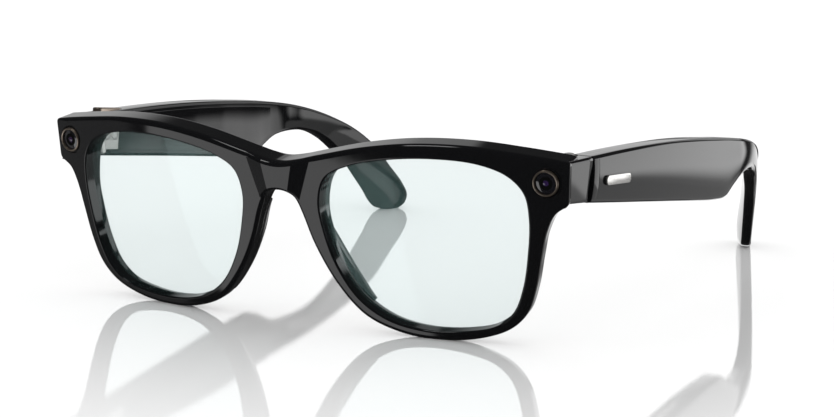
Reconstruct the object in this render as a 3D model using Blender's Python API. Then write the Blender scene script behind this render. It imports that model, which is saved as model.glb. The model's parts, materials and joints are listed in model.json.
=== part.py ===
"""Smart glasses with two folding temples, a capture button and a power slider.

Every dimension here is in millimetres and becomes metres when a mesh is made.
+X points to the wearer's left, +Y runs back towards the ears and +Z is up.
The origin is where the glasses' middle plane meets the surface they stand on,
straight below the middle of the bridge. Left and right are the wearer's own.
"""

import math

import bmesh
import bpy
import numpy as np
from mathutils import Matrix, Vector
from mathutils.geometry import tessellate_polygon

MM = 0.001
GAP = 0.3  # clearance between neighbouring pieces
BREAKOUT = 2.0  # how far a cutter runs past the face it opens
SIDES = {"left": 1, "right": -1}

# Front: a curved plate that leans forward at the top
FRONT_LEAN = math.radians(9.3)
CURVE_ACROSS = 273.0  # radius of the front's curve from side to side
CURVE_UPRIGHT = 262.0  # radius of the front's curve from top to bottom
CURVE_MIDDLE = 20.0  # height on the plate where the upright curve touches
SEAT_HEIGHT = 0.45  # the glasses stand on the ground this far above the plate's zero
MIDDLE_Y = 70.7  # halfway from the front's face to the temple tips, where the world's origin is
GROUND_LOW = (-90.0, -20.0)  # corners of the block that cuts the feet level
GROUND_HIGH = (90.0, 160.0)
NASAL_DEPTH = 4.2  # rim depth beside the nose
DEPTH_GAIN = 0.015  # the rims deepen outwards by this much per millimetre
GAIN_START = 10.0  # counted from this distance off the middle
BROW_DEPTH = 6.0
BROW_START = 24.0  # the rims begin to thicken here
BROW_FULL = 36.0  # and reach the brow's depth here
FRONT_BEVEL = 0.8
REAR_BEVEL = 0.5

# End pieces, from the brow's corner back to the temple joint, as (sideways, up) in the joint's frame
BLOCK_FRONT_LOW = (-3.4, -5.45)
BLOCK_FRONT_HIGH = 3.85
BLOCK_INNER_REAR = -1.9
BLOCK_START_Y = -8.1
BLOCK_CORNER = 0.8
END_U = 68.2  # half the width of the front's face

# Pieces in the channel behind the brow
CHANNEL_DROP = 1.5  # its middle lies this far below the top edge
CHANNEL_HALF = 0.7  # half its height
CHANNEL_FLOOR = 3.6  # its depth behind the face
CHANNEL_END = 59.0  # half its length
CHANNEL_SECTIONS = 33
POCKET_HALF = 5.0  # half the length of its deeper part at the bridge
POCKET_LOW = 34.4
STRIP_THICKNESS = 0.9
CABLE_HALF = 0.35  # half its height
CABLE_DEPTH = 3.9
CABLE_THICKNESS = 0.2
CABLE_END = 58.0
CARRIER_LOW = (-4.4, 34.8)
CARRIER_HIGH = (4.4, 36.7)
CARRIER_DEPTHS = (4.0, 4.7)
CONTACT_U = 2.2
CONTACT_V = 35.8
CONTACT_RADIUS = 0.6
CONTACT_LENGTH = 0.9
CONTACT_PROUD = 0.1

# Lenses
LENS_LIP = 0.5  # how far the lens edge enters its groove
LENS_THICKNESS = 1.6
LENS_SETBACK = 1.8  # of the lens face behind the frame's face, beside the nose
LENS_RINGS = (0.05, 0.4, 0.72, 1.0)  # shares of the way from its middle to its edge

# Hinges: the pin leans forward with the front, the joint faces lean back with the temples
HINGE_X = 63.9
HINGE_Y = 12.35
HINGE_Z = 38.05
PIN_LEAN = -FRONT_LEAN
JOINT_LEAN = math.radians(7.0)
KNUCKLE_RADIUS = 1.9
KNUCKLE_HEIGHT = 9.0  # all three knuckles together
MIDDLE_KNUCKLE = 2.7
PIN_RADIUS = 0.7
PIN_HEAD_RADIUS = 1.4
PIN_HEAD_TOP = 5.3
PIN_REACH = 8.0  # cutters about the pin run this far to each side of its middle
WEB_INSET = 0.2  # the temple leaf's stub runs this much short of the knuckle it joins
LEAF_THICKNESS = 1.0
FRONT_LEAF_LENGTH = 4.2
FRONT_LEAF_HALF = 4.0  # half its height
FRONT_SCREW_Y = -3.1
TEMPLE_LEAF_LENGTH = 9.0
TEMPLE_LEAF_HALF = 3.6  # half its height
TEMPLE_SCREWS_Y = (4.3, 7.4)
TEMPLE_LEAF_INSET = 0.2  # how far the temple's inner face lies inside the pin's axis
JOINT_HALF_HEIGHT = 5.05  # of the end piece and the temple where they meet
SCREW_HEAD_RADIUS = 1.05
SCREW_SHANK_RADIUS = 0.6
SCREW_LENGTH = 3.0
SCREW_HEAD_DEPTH = 0.55
SCREW_HEAD_EDGE = 0.05

# Temples
TEMPLE_X = 69.5  # outer face at the hinge
TEMPLE_BOW = 1.0  # the outer face swells by this much halfway along
BEND_Y = 100.0  # the temple turns inwards behind this point
BEND_RATE = 0.0077  # inward curve per millimetre squared
WALL = 1.2
COVER_THICKNESS = 1.0
COVER_START = 24.8
COVER_END = 95.7
OUTER_CROWN = 0.35
SHELL_CORNER = 1.1
STRIP_CORNER = 0.6
COVER_CORNER = 0.4
STRIP_SECTIONS = 15

# Nose pads
PAD_LOW = 4.5
PAD_HIGH = 28.5
PAD_WIDTH = 3.0
PAD_HEIGHT = 2.8
PAD_SPLAY = 0.3  # how far the pad leans away from the nose for each unit it stands back
PAD_TAPER = 0.35  # the share of its width it loses at its rear
PAD_CORNER = 0.25

# Camera and light windows in the end pieces, with heights along the axis out of the face
MODULE_U = 63.4
MODULE_V = 37.5
MODULE_TURN = math.radians(8.0)  # the windows look slightly outwards
BORE_RADIUS = 3.05
BORE_DEPTH = 5.5
RING_RADIUS = 2.75
RING_HOLE = 2.0
RING_LOW = -0.9
RING_PROUD = 0.7
WINDOW_RADIUS = 1.7
WINDOW_HALF = 0.3  # half its thickness
OPTICS_PROFILE = [(0, -3.9), (2.4, -3.9), (2.4, -1.9), (1.5, -1.3), (1.5, -0.7), (0, -0.7)]
MODULE_BOARD_RADIUS = 2.6
MODULE_BOARD_LOW = -5.0
MODULE_BOARD_HIGH = -4.2

# Controls
BUTTON_Y = 20.3
BUTTON_LENGTH = 9.6
BUTTON_WIDTH = 2.5
BUTTON_PROUD = 1.5
BUTTON_HEIGHT = 2.8
BUTTON_CORNER = 1.0
BUTTON_X = 3.1  # outwards from the hinge
POCKET_FLOOR = 1.2
SWITCH_HALF = (0.9, 1.6)
SWITCH_LOW = 1.5
SWITCH_HIGH = 3.2
SLIDER_Y = 31.0
SLIDER_LENGTH = 3.4
SLIDER_WIDTH = 2.0
SLIDER_TRAVEL = 2.0
SLIDER_THICKNESS = 1.7
SLIDER_PROUD = 0.4
SLIDER_RISE = 1.4

# Badges
BADGE_Y = 24.0
BADGE_SIZE = (0.8, 13.0, 2.2)
BADGE_PROUD = 0.15
BADGE_RISE = -0.4

# Pieces inside a temple: place along it, (thickness, length, height), depth behind the inner face
# and rise above the middle line
BATTERY = (57.5, (2.6, 36.0, 8.4), 1.6, 0.3)
SWITCH_BOARD = (31.5, (0.8, 10.0, 5.5), 2.7, 1.2)
MAIN_BOARD = (55.0, (0.8, 40.0, 8.4), 2.9, 0.3)
PROCESSOR_SHIELD = (51.0, (1.0, 18.0, 7.2), 1.6, 0.3)
TOUCH_SENSOR = (55.0, (0.25, 36.0, 8.0), 4.1, 0.3)
SPEAKER = (82.0, (2.7, 10.0, 7.5), 1.5)
SPEAKER_MESH = (62.0, (1.8, 12.0, 0.5), 2.2, -6.9)
SPEAKER_VENT = (62.0, (1.8 + 2 * GAP, 12.0 + 2 * GAP, 5.0), 2.2 - GAP, -6.9)
MICROPHONE = (28.5, (1.2, 3.0, 1.8), 1.6, -3.6)
MICROPHONE_PORT = (28.5, (0.8, 0.8, 4.0), 1.8, -5.6)

# Upper edge, lower edge and thickness of a temple, from the hinge to the tip
TEMPLE_STATIONS = [
    ((13.1, 43.1), (11.9, 32.9), 6.0),
    ((27.0, 42.7), (25.5, 31.0), 6.0),
    ((42.0, 42.0), (40.0, 29.0), 6.0),
    ((57.0, 41.0), (55.0, 26.9), 6.2),
    ((70.0, 39.8), (69.0, 24.9), 6.2),
    ((80.5, 38.6), (81.0, 23.3), 6.0),
    ((86.5, 37.9), (88.2, 23.0), 5.9),
    ((92.5, 37.1), (92.7, 24.8), 5.7),
    ((98.5, 36.2), (98.5, 26.8), 5.4),
    ((106.5, 34.7), (106.2, 27.4), 4.9),
    ((115.0, 32.4), (114.0, 26.2), 4.2),
    ((123.0, 29.3), (119.4, 23.4), 3.7),
    ((130.5, 25.3), (123.9, 19.6), 3.3),
    ((136.7, 20.1), (128.2, 15.8), 3.0),
    ((141.8, 13.2), (131.8, 10.8), 2.8),
    ((145.3, 8.3), (134.6, 6.6), 2.7),
    ((147.0, 4.4), (136.4, 3.4), 2.7),
    ((146.3, 1.8), (138.2, 1.4), 2.6),
    ((144.5, 0.35), (140.6, 0.25), 2.4),
]

# The wearer's left half of the front, in the plate's own u (outwards) and v (upwards)
LENS_OPENING = [
    (34.0, 2.0), (44.0, 2.4), (50.6, 4.1), (54.6, 7.5), (57.1, 13.3), (58.7, 21.5), (59.3, 29.0),
    (58.4, 34.8), (55.0, 38.6), (48.5, 41.1), (38.5, 42.0), (27.0, 41.3), (17.6, 39.3), (12.2, 36.4),
    (10.3, 31.0), (11.2, 23.8), (13.8, 15.8), (18.6, 8.4), (25.3, 3.9),
]
TOP_EDGE = [
    (0.0, 39.4), (4.5, 40.0), (10.0, 41.3), (21.0, 43.7), (33.0, 45.1), (46.0, 45.0), (58.0, 43.6),
    (END_U, 41.9),
]
LOWER_EDGE = [
    (67.7, 32.5), (64.9, 30.2), (63.0, 26.3), (61.6, 20.5), (59.9, 13.0), (57.6, 7.3), (53.6, 3.3),
    (46.5, 0.6), (37.0, -0.4), (28.0, 0.6), (19.5, 4.1), (13.3, 10.9), (8.2, 20.2), (5.2, 28.3),
    (3.4, 31.6), (0.0, 32.6),
]


# ---------------------------------------------------------------- curves


def smooth_curve(points, steps, closed=False):
    """Points on the centripetal Catmull-Rom curve through the given ones."""
    points = [Vector(p) for p in points]
    if closed:
        points = [points[-1], *points, points[0], points[1]]
    else:
        points = [2 * points[0] - points[1], *points, 2 * points[-1] - points[-2]]
    curve = []
    for a, b, c, d in zip(points, points[1:], points[2:], points[3:]):
        t1 = math.sqrt((b - a).length)
        t2 = t1 + math.sqrt((c - b).length)
        t3 = t2 + math.sqrt((d - c).length)
        for step in range(steps):
            t = t1 + (t2 - t1) * step / steps
            ab = a.lerp(b, t / t1)
            bc = b.lerp(c, (t - t1) / (t2 - t1))
            cd = c.lerp(d, (t - t2) / (t3 - t2))
            curve.append(ab.lerp(bc, t / t2).lerp(bc.lerp(cd, (t - t1) / (t3 - t1)), (t - t1) / (t2 - t1)))
    if not closed:
        curve.append(points[-2])
    return curve


def offset_outline(outline, distance):
    """A counter-clockwise outline grown by the distance, with mitred corners."""
    grown = []
    for i, point in enumerate(outline):
        before = (point - outline[i - 1]).normalized()
        after = (outline[(i + 1) % len(outline)] - point).normalized()
        normal_sum = Vector((before.y + after.y, -before.x - after.x))
        grown.append(point + normal_sum * (2 * distance / normal_sum.length_squared))
    return grown


def smoothstep(value, low, high):
    t = min(max((value - low) / (high - low), 0.0), 1.0)
    return t * t * (3 - 2 * t)


def lens_outline(side, steps, grow=0.0):
    outline = offset_outline(smooth_curve(LENS_OPENING, steps, closed=True), grow)
    if side > 0:
        return outline
    return [Vector((-p.x, p.y)) for p in reversed(outline)]


def across_middle(half):
    """A curve's points from its left end to the middle, carried on to their mirror images."""
    return half + [(-u, v) for u, v in reversed(half[:-1])]


def front_outline():
    top = smooth_curve(across_middle(TOP_EDGE[::-1]), 2)
    low = smooth_curve(across_middle(LOWER_EDGE), 2)
    return top + low[::-1]


def top_edge_height(u):
    curve = smooth_curve(TOP_EDGE, 4)
    return float(np.interp(abs(u), [p.x for p in curve], [p.y for p in curve]))


# ---------------------------------------------------------------- shapes


def front_point(u, v, depth=0.0):
    """A point the given depth behind the front's face; the walls close in slightly with depth."""
    back = u * u / (2 * CURVE_ACROSS) + (v - CURVE_MIDDLE) ** 2 / (2 * CURVE_UPRIGHT) + depth
    y = back * math.cos(FRONT_LEAN) - v * math.sin(FRONT_LEAN)
    z = back * math.sin(FRONT_LEAN) + v * math.cos(FRONT_LEAN)
    return Vector((u * (1 - depth / (2 * CURVE_ACROSS)), y, z))


def outward_gain(u):
    return DEPTH_GAIN * max(abs(u) - GAIN_START, 0.0)


def front_depth(u, v):
    rim = NASAL_DEPTH + outward_gain(u)
    return rim + (BROW_DEPTH - rim) * smoothstep(v, BROW_START, BROW_FULL)


def loft(sections):
    """Points and faces of a solid that joins equal rings of points, capped at both ends."""
    count = len(sections[0])
    points = [p for section in sections for p in section]
    faces = [tuple(reversed(range(count)))]
    for ring in range(len(sections) - 1):
        for i in range(count):
            j = (i + 1) % count
            low = ring * count
            faces.append((low + i, low + j, low + count + j, low + count + i))
    last = (len(sections) - 1) * count
    faces.append(tuple(range(last, last + count)))
    return points, faces


def turned(profile, segments=20):
    """A solid turned about Z from (radius, height) pairs that start and end on the axis."""
    rings = []
    for radius, height in profile[1:-1]:
        angles = [2 * math.pi * i / segments for i in range(segments)]
        rings.append([Vector((radius * math.cos(a), radius * math.sin(a), height)) for a in angles])
    return loft(rings)


def cylinder(radius, low, high, segments=20):
    return turned([(0, low), (radius, low), (radius, high), (0, high)], segments)


def tube(outer, inner, low, high, segments=24):
    """A ring about Z with a square section."""
    loops = []
    for radius, height in ((outer, low), (outer, high), (inner, high), (inner, low)):
        angles = [2 * math.pi * i / segments for i in range(segments)]
        loops.append([Vector((radius * math.cos(a), radius * math.sin(a), height)) for a in angles])
    points = [p for loop in loops for p in loop]
    faces = []
    for ring in range(4):
        for i in range(segments):
            j = (i + 1) % segments
            a = ring * segments
            b = (ring + 1) % 4 * segments
            faces.append((a + i, a + j, b + j, b + i))
    return points, faces


def box(low, high):
    """A box between two opposite corners."""
    corners = [(low[0], low[1]), (high[0], low[1]), (high[0], high[1]), (low[0], high[1])]
    return loft([[Vector((x, y, z)) for x, y in corners] for z in (low[2], high[2])])


def centred_box(size, centre=(0, 0, 0)):
    low = [c - s / 2 for c, s in zip(centre, size)]
    high = [c + s / 2 for c, s in zip(centre, size)]
    return box(low, high)


def rounded_rectangle(low, high, radius, corner_steps=3):
    """Counter-clockwise points of a rectangle with round corners."""
    corners = [
        ((high[0] - radius, low[1] + radius), -90),
        ((high[0] - radius, high[1] - radius), 0),
        ((low[0] + radius, high[1] - radius), 90),
        ((low[0] + radius, low[1] + radius), 180),
    ]
    points = []
    for (x, y), start in corners:
        for step in range(corner_steps + 1):
            angle = math.radians(start + 90 * step / corner_steps)
            points.append((x + radius * math.cos(angle), y + radius * math.sin(angle)))
    return points


# ---------------------------------------------------------------- objects


def clear_scene():
    for obj in list(bpy.data.objects):
        bpy.data.objects.remove(obj)


def material(name, colour, roughness, metallic=0.0, alpha=1.0):
    made = bpy.data.materials.new(name)
    made.use_nodes = True
    shader = made.node_tree.nodes["Principled BSDF"]
    shader.inputs["Base Color"].default_value = (*colour, 1)
    shader.inputs["Roughness"].default_value = roughness
    shader.inputs["Metallic"].default_value = metallic
    shader.inputs["Alpha"].default_value = alpha
    made.diffuse_color = (*colour, alpha)
    return made


def make_object(name, shape, finish=None, parent=None, place=None):
    """A mesh object from points in millimetres, facing out, in its parent's own frame."""
    points, faces = shape
    mesh = bpy.data.meshes.new(name)
    mesh.from_pydata([tuple(Vector(p) * MM) for p in points], [], faces)
    if place is not None:
        mesh.transform(place)
    solid = bmesh.new()
    solid.from_mesh(mesh)
    bmesh.ops.recalc_face_normals(solid, faces=solid.faces)
    solid.to_mesh(mesh)
    solid.free()
    mesh.shade_smooth()
    mesh.set_sharp_from_angle(angle=math.radians(35))
    if finish:
        mesh.materials.append(finish)
    obj = bpy.data.objects.new(name, mesh)
    obj.parent = parent
    bpy.context.scene.collection.objects.link(obj)
    return obj


def mirrored(shape, side):
    """The shape on the wearer's left for side 1, or its mirror image for side -1."""
    points, faces = shape
    return [Vector((side * p[0], p[1], p[2])) for p in points], faces


def apply_tool(target, tool, operation="DIFFERENCE"):
    """Adds a Boolean that keeps its tool as a hidden helper."""
    tool.hide_render = True
    tool.display_type = "WIRE"
    modifier = target.modifiers.new(tool.name, "BOOLEAN")
    modifier.operation = operation
    modifier.solver = "EXACT"
    modifier.object = tool


def soften(obj, width, segments=2):
    bevel = obj.modifiers.new("edges", "BEVEL")
    bevel.width = width * MM
    bevel.segments = segments
    bevel.limit_method = "ANGLE"
    bevel.angle_limit = math.radians(50)


def axis_empty(name, location, rotation, parent=None):
    empty = bpy.data.objects.new(name, None)
    empty.empty_display_size = 5 * MM
    empty.location = Vector(location) * MM
    empty.rotation_mode = "QUATERNION"
    empty.rotation_quaternion = rotation
    empty.parent = parent
    bpy.context.scene.collection.objects.link(empty)
    return empty


def leaning_matrix(side, lean):
    """From a frame at the hinge, its Z leaning back by the given angle, to the world, in metres."""
    place = Matrix.Translation(Vector((side * HINGE_X, HINGE_Y, HINGE_Z)) * MM)
    return place @ Matrix.Rotation(-lean, 4, "X")


def hinge_matrix(side):
    """The frame whose Z is the hinge pin's axis."""
    return leaning_matrix(side, PIN_LEAN)


def joint_in_hinge(side):
    """From the joint faces' frame to the hinge's frame."""
    return hinge_matrix(side).inverted() @ leaning_matrix(side, JOINT_LEAN)


# ---------------------------------------------------------------- front frame


def front_plate():
    """The rims, bridge and brow: a bevelled plate with two lens openings."""
    points = []
    faces = []
    front_loops = []
    rear_loops = []
    loops = [(front_outline(), -1)] + [(lens_outline(side, 2), 1) for side in SIDES.values()]
    for loop, away in loops:
        front = offset_outline(loop, away * FRONT_BEVEL)
        rear = offset_outline(loop, away * REAR_BEVEL)
        first = len(points)
        points += [front_point(*p) for p in front]
        points += [front_point(*p, FRONT_BEVEL) for p in loop]
        points += [front_point(*p, front_depth(*p) - REAR_BEVEL) for p in loop]
        points += [front_point(*p, front_depth(*p)) for p in rear]
        count = len(loop)
        for ring in range(3):
            for i in range(count):
                j = (i + 1) % count
                a = first + ring * count
                faces.append((a + i, a + j, a + count + j, a + count + i))
        front_loops.append((first, front))
        rear_loops.append((first + 3 * count, rear))
    for cap in (front_loops, rear_loops):
        indices = [start + i for start, loop in cap for i in range(len(loop))]
        triangles = tessellate_polygon([[Vector((*p, 0)) for p in loop] for _, loop in cap])
        faces += [tuple(indices[i] for i in triangle) for triangle in triangles]
    return points, faces


def end_block(side):
    """The thick end piece behind the brow's corner, up to the temple joint, in the joint's frame."""
    front_high = (END_U - HINGE_X, BLOCK_FRONT_HIGH)
    rear_low = (BLOCK_INNER_REAR, -JOINT_HALF_HEIGHT)
    rear_high = (TEMPLE_X - HINGE_X, JOINT_HALF_HEIGHT)
    front = rounded_rectangle(BLOCK_FRONT_LOW, front_high, BLOCK_CORNER)
    rear = rounded_rectangle(rear_low, rear_high, BLOCK_CORNER)
    sections = [
        [Vector((x, BLOCK_START_Y, z)) for x, z in front],
        [Vector((x, -GAP / 2, z)) for x, z in rear],
    ]
    return mirrored(loft(sections), side)


def brow_channel(half_height, low_depth, high_depth, end_u, pocket_low=None):
    """A strip that follows the brow; pocket_low deepens it downwards at the bridge."""
    sections = []
    for u in np.linspace(-end_u, end_u, CHANNEL_SECTIONS):
        middle = top_edge_height(u) - CHANNEL_DROP
        low = middle - half_height
        if pocket_low is not None and abs(u) < POCKET_HALF:
            low = pocket_low
        corners = ((low, low_depth), (middle + half_height, low_depth))
        corners += ((middle + half_height, high_depth), (low, high_depth))
        sections.append([front_point(u, v, depth) for v, depth in corners])
    return loft(sections)


def lens_solid(side, grow, front, rear):
    """A curved lens blank: rings spread from its middle over the front, then back over the rear."""
    outline = lens_outline(side, 2, grow)
    middle = sum(outline, Vector((0, 0))) / len(outline)
    sections = []
    for depth, order in ((front, LENS_RINGS), (rear, LENS_RINGS[::-1])):
        for share in order:
            ring = [middle.lerp(p, share) for p in outline]
            sections.append([front_point(*p, depth + outward_gain(p.x)) for p in ring])
    return loft(sections)


def leaf_screw(grow=0.0):
    """A countersunk screw along Z, its head's face at zero."""
    head = SCREW_HEAD_RADIUS + grow
    shank = SCREW_SHANK_RADIUS + grow
    end = -SCREW_LENGTH - grow
    top = BREAKOUT if grow else 0.0
    cone = [(shank, -SCREW_HEAD_DEPTH), (head, -SCREW_HEAD_EDGE)]
    return turned([(0, end), (shank, end), *cone, (head, top), (0, top)], 16)


def across_x(x, y, side):
    """Turns a piece made along Z so that it points inwards along X, from the joint's frame."""
    turn = Matrix.Rotation(math.radians(-90 * side), 4, "Y")
    return joint_in_hinge(side) @ Matrix.Translation(Vector((side * x, y, 0)) * MM) @ turn


def cut_foot(target, root):
    """Leaves a small level foot where a piece stands on the ground."""
    ground = box((*GROUND_LOW, -BREAKOUT), (*GROUND_HIGH, SEAT_HEIGHT))
    apply_tool(target, make_object(f"{target.name}_foot_cut", ground, parent=root))


def build_front_frame(finish, root, hinges, modules):
    frame = make_object("front_frame", front_plate(), finish, root)
    for name, side in SIDES.items():
        block = make_object(f"{name}_end_block", end_block(side), None, hinges[name], joint_in_hinge(side))
        apply_tool(frame, block, "UNION")
    for name, side in SIDES.items():
        hinge = hinges[name]
        groove_front = LENS_SETBACK - GAP
        groove_rear = LENS_SETBACK + LENS_THICKNESS + GAP
        groove = lens_solid(side, LENS_LIP + GAP, groove_front, groove_rear)
        apply_tool(frame, make_object(f"{name}_lens_groove", groove, parent=root))
        bore = cylinder(BORE_RADIUS, -BORE_DEPTH, BREAKOUT, 24)
        apply_tool(frame, make_object(f"{name}_module_bore", bore, parent=modules[name]))
        relief = cylinder(KNUCKLE_RADIUS + GAP, -PIN_REACH, PIN_REACH)
        apply_tool(frame, make_object(f"{name}_frame_relief", relief, parent=hinge))
        low = (-KNUCKLE_RADIUS - BREAKOUT, -FRONT_LEAF_LENGTH - GAP, -FRONT_LEAF_HALF - GAP)
        high = (-KNUCKLE_RADIUS + LEAF_THICKNESS + GAP, BREAKOUT, FRONT_LEAF_HALF + GAP)
        recess = mirrored(box(low, high), side)
        recess = make_object(f"{name}_front_leaf_recess", recess, None, hinge, joint_in_hinge(side))
        apply_tool(frame, recess)
        place = across_x(-KNUCKLE_RADIUS, FRONT_SCREW_Y, side)
        hole = make_object(f"{name}_front_screw_hole", leaf_screw(GAP), parent=hinge, place=place)
        apply_tool(frame, hole)
    channel = brow_channel(CHANNEL_HALF, CHANNEL_FLOOR, BROW_DEPTH + BREAKOUT, CHANNEL_END, POCKET_LOW)
    apply_tool(frame, make_object("brow_channel", channel, parent=root))
    cut_foot(frame, root)


def build_front_details(finishes, root):
    for name, side in SIDES.items():
        glass = lens_solid(side, LENS_LIP, LENS_SETBACK, LENS_SETBACK + LENS_THICKNESS)
        make_object(f"{name}_lens", glass, finishes["lens"], root)
        build_nose_pad(name, side, finishes["black"], root)
    build_brow_pieces(finishes, root)


def build_brow_pieces(finishes, root):
    """The flex cable between the temples, the charging contacts and the strip that covers them."""
    strip_half = CHANNEL_HALF - GAP
    strip_start = BROW_DEPTH - STRIP_THICKNESS
    cover = brow_channel(strip_half, strip_start, BROW_DEPTH, CHANNEL_END - GAP, POCKET_LOW + GAP)
    cover = make_object("brow_cover", cover, finishes["black"], root)
    cable = brow_channel(CABLE_HALF, CABLE_DEPTH, CABLE_DEPTH + CABLE_THICKNESS, CABLE_END)
    make_object("brow_flex_cable", cable, finishes["flex"], root)
    plate = rounded_rectangle(CARRIER_LOW, CARRIER_HIGH, 0.4, 1)
    carrier = [[front_point(u, v, depth) for u, v in plate] for depth in CARRIER_DEPTHS]
    make_object("charge_contact_carrier", loft(carrier), finishes["dark_plastic"], root)
    for name, side in SIDES.items():
        top = front_point(side * CONTACT_U, CONTACT_V, BROW_DEPTH)
        turn = Matrix.Rotation(FRONT_LEAN, 4, "X") @ Matrix.Rotation(math.radians(-90), 4, "X")
        place = Matrix.Translation(top * MM) @ turn
        pin = cylinder(CONTACT_RADIUS, CONTACT_PROUD - CONTACT_LENGTH, CONTACT_PROUD, 16)
        make_object(f"{name}_charge_contact", pin, finishes["gold"], root, place)
        hole = cylinder(CONTACT_RADIUS + GAP, -BREAKOUT, BREAKOUT, 16)
        apply_tool(cover, make_object(f"{name}_contact_hole", hole, parent=root, place=place))


def build_nose_pad(name, side, finish, root):
    """A pad glued behind the nasal side of the rim, flush with its wall."""
    path = [p for p in smooth_curve(LOWER_EDGE, 3) if PAD_LOW < p.y < PAD_HIGH and p.x < 30]
    sections = []
    for i, point in enumerate(path):
        share = i / (len(path) - 1)
        ahead = (path[min(i + 1, len(path) - 1)] - path[max(i - 1, 0)]).normalized()
        inward = Vector((ahead.y, -ahead.x))
        height = PAD_HEIGHT * math.sin(math.pi * (0.12 + 0.83 * share)) ** 0.7
        ring = []
        for across, rise in rounded_rectangle((0.0, 0.0), (PAD_WIDTH, 1.0), PAD_CORNER, 2):
            splay = PAD_SPLAY * rise * height
            place = point + inward * (across * (1 - PAD_TAPER * rise) + splay)
            depth = front_depth(*place) + GAP + height * rise
            ring.append(front_point(side * place.x, place.y, depth))
        sections.append(ring)
    make_object(f"{name}_nose_pad", loft(sections), finish, root)


def build_module(name, lens_word, finishes, axis):
    """The ringed window in an end piece, with the optics and the round board behind it."""
    ring = tube(RING_RADIUS, RING_HOLE, RING_LOW, RING_PROUD)
    soften(make_object(f"{name}_ring", ring, finishes["bronze"], axis), 0.2, 1)
    window = cylinder(WINDOW_RADIUS, -WINDOW_HALF, WINDOW_HALF, 24)
    make_object(f"{name}_window", window, finishes["dark_glass"], axis)
    barrel = turned(OPTICS_PROFILE, 24)
    make_object(f"{name}_{lens_word}", barrel, finishes["dark_plastic"], axis)
    board = cylinder(MODULE_BOARD_RADIUS, MODULE_BOARD_LOW, MODULE_BOARD_HIGH, 24)
    make_object(f"{name}_board", board, finishes["board"], axis)


# ---------------------------------------------------------------- hinges


def leaf_gap(name, side, low, high, hinge):
    """Cuts the space another leaf's knuckle turns in."""
    return make_object(name, mirrored(cylinder(KNUCKLE_RADIUS + GAP, low, high), side), parent=hinge)


def build_hinge(name, side, finishes, hinge):
    half = KNUCKLE_HEIGHT / 2
    middle = MIDDLE_KNUCKLE / 2
    steel = finishes["steel"]
    bore = cylinder(PIN_RADIUS + GAP, -PIN_REACH, PIN_REACH)
    bore = make_object(f"{name}_hinge_bore", bore, parent=hinge)

    low = (-KNUCKLE_RADIUS, -FRONT_LEAF_LENGTH, -FRONT_LEAF_HALF)
    leaf = mirrored(box(low, (-KNUCKLE_RADIUS + LEAF_THICKNESS, 0, FRONT_LEAF_HALF)), side)
    front = make_object(f"{name}_front_hinge_leaf", leaf, steel, hinge, joint_in_hinge(side))
    barrel = make_object(f"{name}_front_knuckles", cylinder(KNUCKLE_RADIUS, -half, half), parent=hinge)
    apply_tool(front, barrel, "UNION")
    apply_tool(front, leaf_gap(f"{name}_middle_gap", side, -middle - GAP, middle + GAP, hinge))
    apply_tool(front, bore)

    inner = -TEMPLE_LEAF_INSET
    leaf = box((inner, 0, -TEMPLE_LEAF_HALF), (inner + LEAF_THICKNESS, TEMPLE_LEAF_LENGTH, TEMPLE_LEAF_HALF))
    rear = make_object(f"{name}_temple_hinge_leaf", mirrored(leaf, side), steel, hinge, joint_in_hinge(side))
    web = middle - WEB_INSET
    for label, start, end in (("lower", -PIN_REACH, -web), ("upper", web, PIN_REACH)):
        apply_tool(rear, leaf_gap(f"{name}_{label}_gap", side, start, end, hinge))
    barrel = make_object(f"{name}_temple_knuckle", cylinder(KNUCKLE_RADIUS, -middle, middle), parent=hinge)
    apply_tool(rear, barrel, "UNION")
    apply_tool(rear, bore)

    shank = [(0, -half), (PIN_RADIUS, -half), (PIN_RADIUS, half + GAP)]
    head = [(PIN_HEAD_RADIUS, half + GAP), (PIN_HEAD_RADIUS, PIN_HEAD_TOP), (0, PIN_HEAD_TOP)]
    make_object(f"{name}_hinge_screw", turned(shank + head), steel, hinge)

    spots = {"front_leaf_screw": (-KNUCKLE_RADIUS, FRONT_SCREW_Y)}
    for number, y in enumerate(TEMPLE_SCREWS_Y, 1):
        spots[f"temple_leaf_screw_{number}"] = (inner, y)
    for label, (x, y) in spots.items():
        place = across_x(x, y, side)
        make_object(f"{name}_{label}", leaf_screw(), steel, hinge, place)
        hole = make_object(f"{name}_{label}_hole", leaf_screw(GAP), parent=hinge, place=place)
        apply_tool(front if label.startswith("front") else rear, hole)


# ---------------------------------------------------------------- temples


def outer_x(y):
    """Where the temple's outer face lies, before its crown."""
    swell = TEMPLE_BOW * math.sin(math.pi * min(max((y - HINGE_Y) / (BEND_Y - HINGE_Y), 0), 1))
    return TEMPLE_X + swell - BEND_RATE * max(y - BEND_Y, 0) ** 2


def temple_stations(steps=2):
    """The temple's stations, with smooth ones between."""
    uppers, lowers, thicknesses = zip(*TEMPLE_STATIONS)
    upper = smooth_curve(uppers, steps)
    lower = smooth_curve(lowers, steps)
    places = np.linspace(0, len(thicknesses) - 1, len(upper))
    thickness = np.interp(places, range(len(thicknesses)), thicknesses)
    return list(zip(upper, lower, thickness))


def station_at(y):
    """Upper edge, lower edge and thickness where the temple's middle line passes y."""
    stations = temple_stations(8)
    middles = [(upper.x + lower.x) / 2 for upper, lower, _ in stations]
    values = np.array([(*upper, *lower, thickness) for upper, lower, thickness in stations])
    found = [float(np.interp(y, middles, values[:, column])) for column in range(5)]
    return Vector(found[0:2]), Vector(found[2:4]), found[4]


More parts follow.
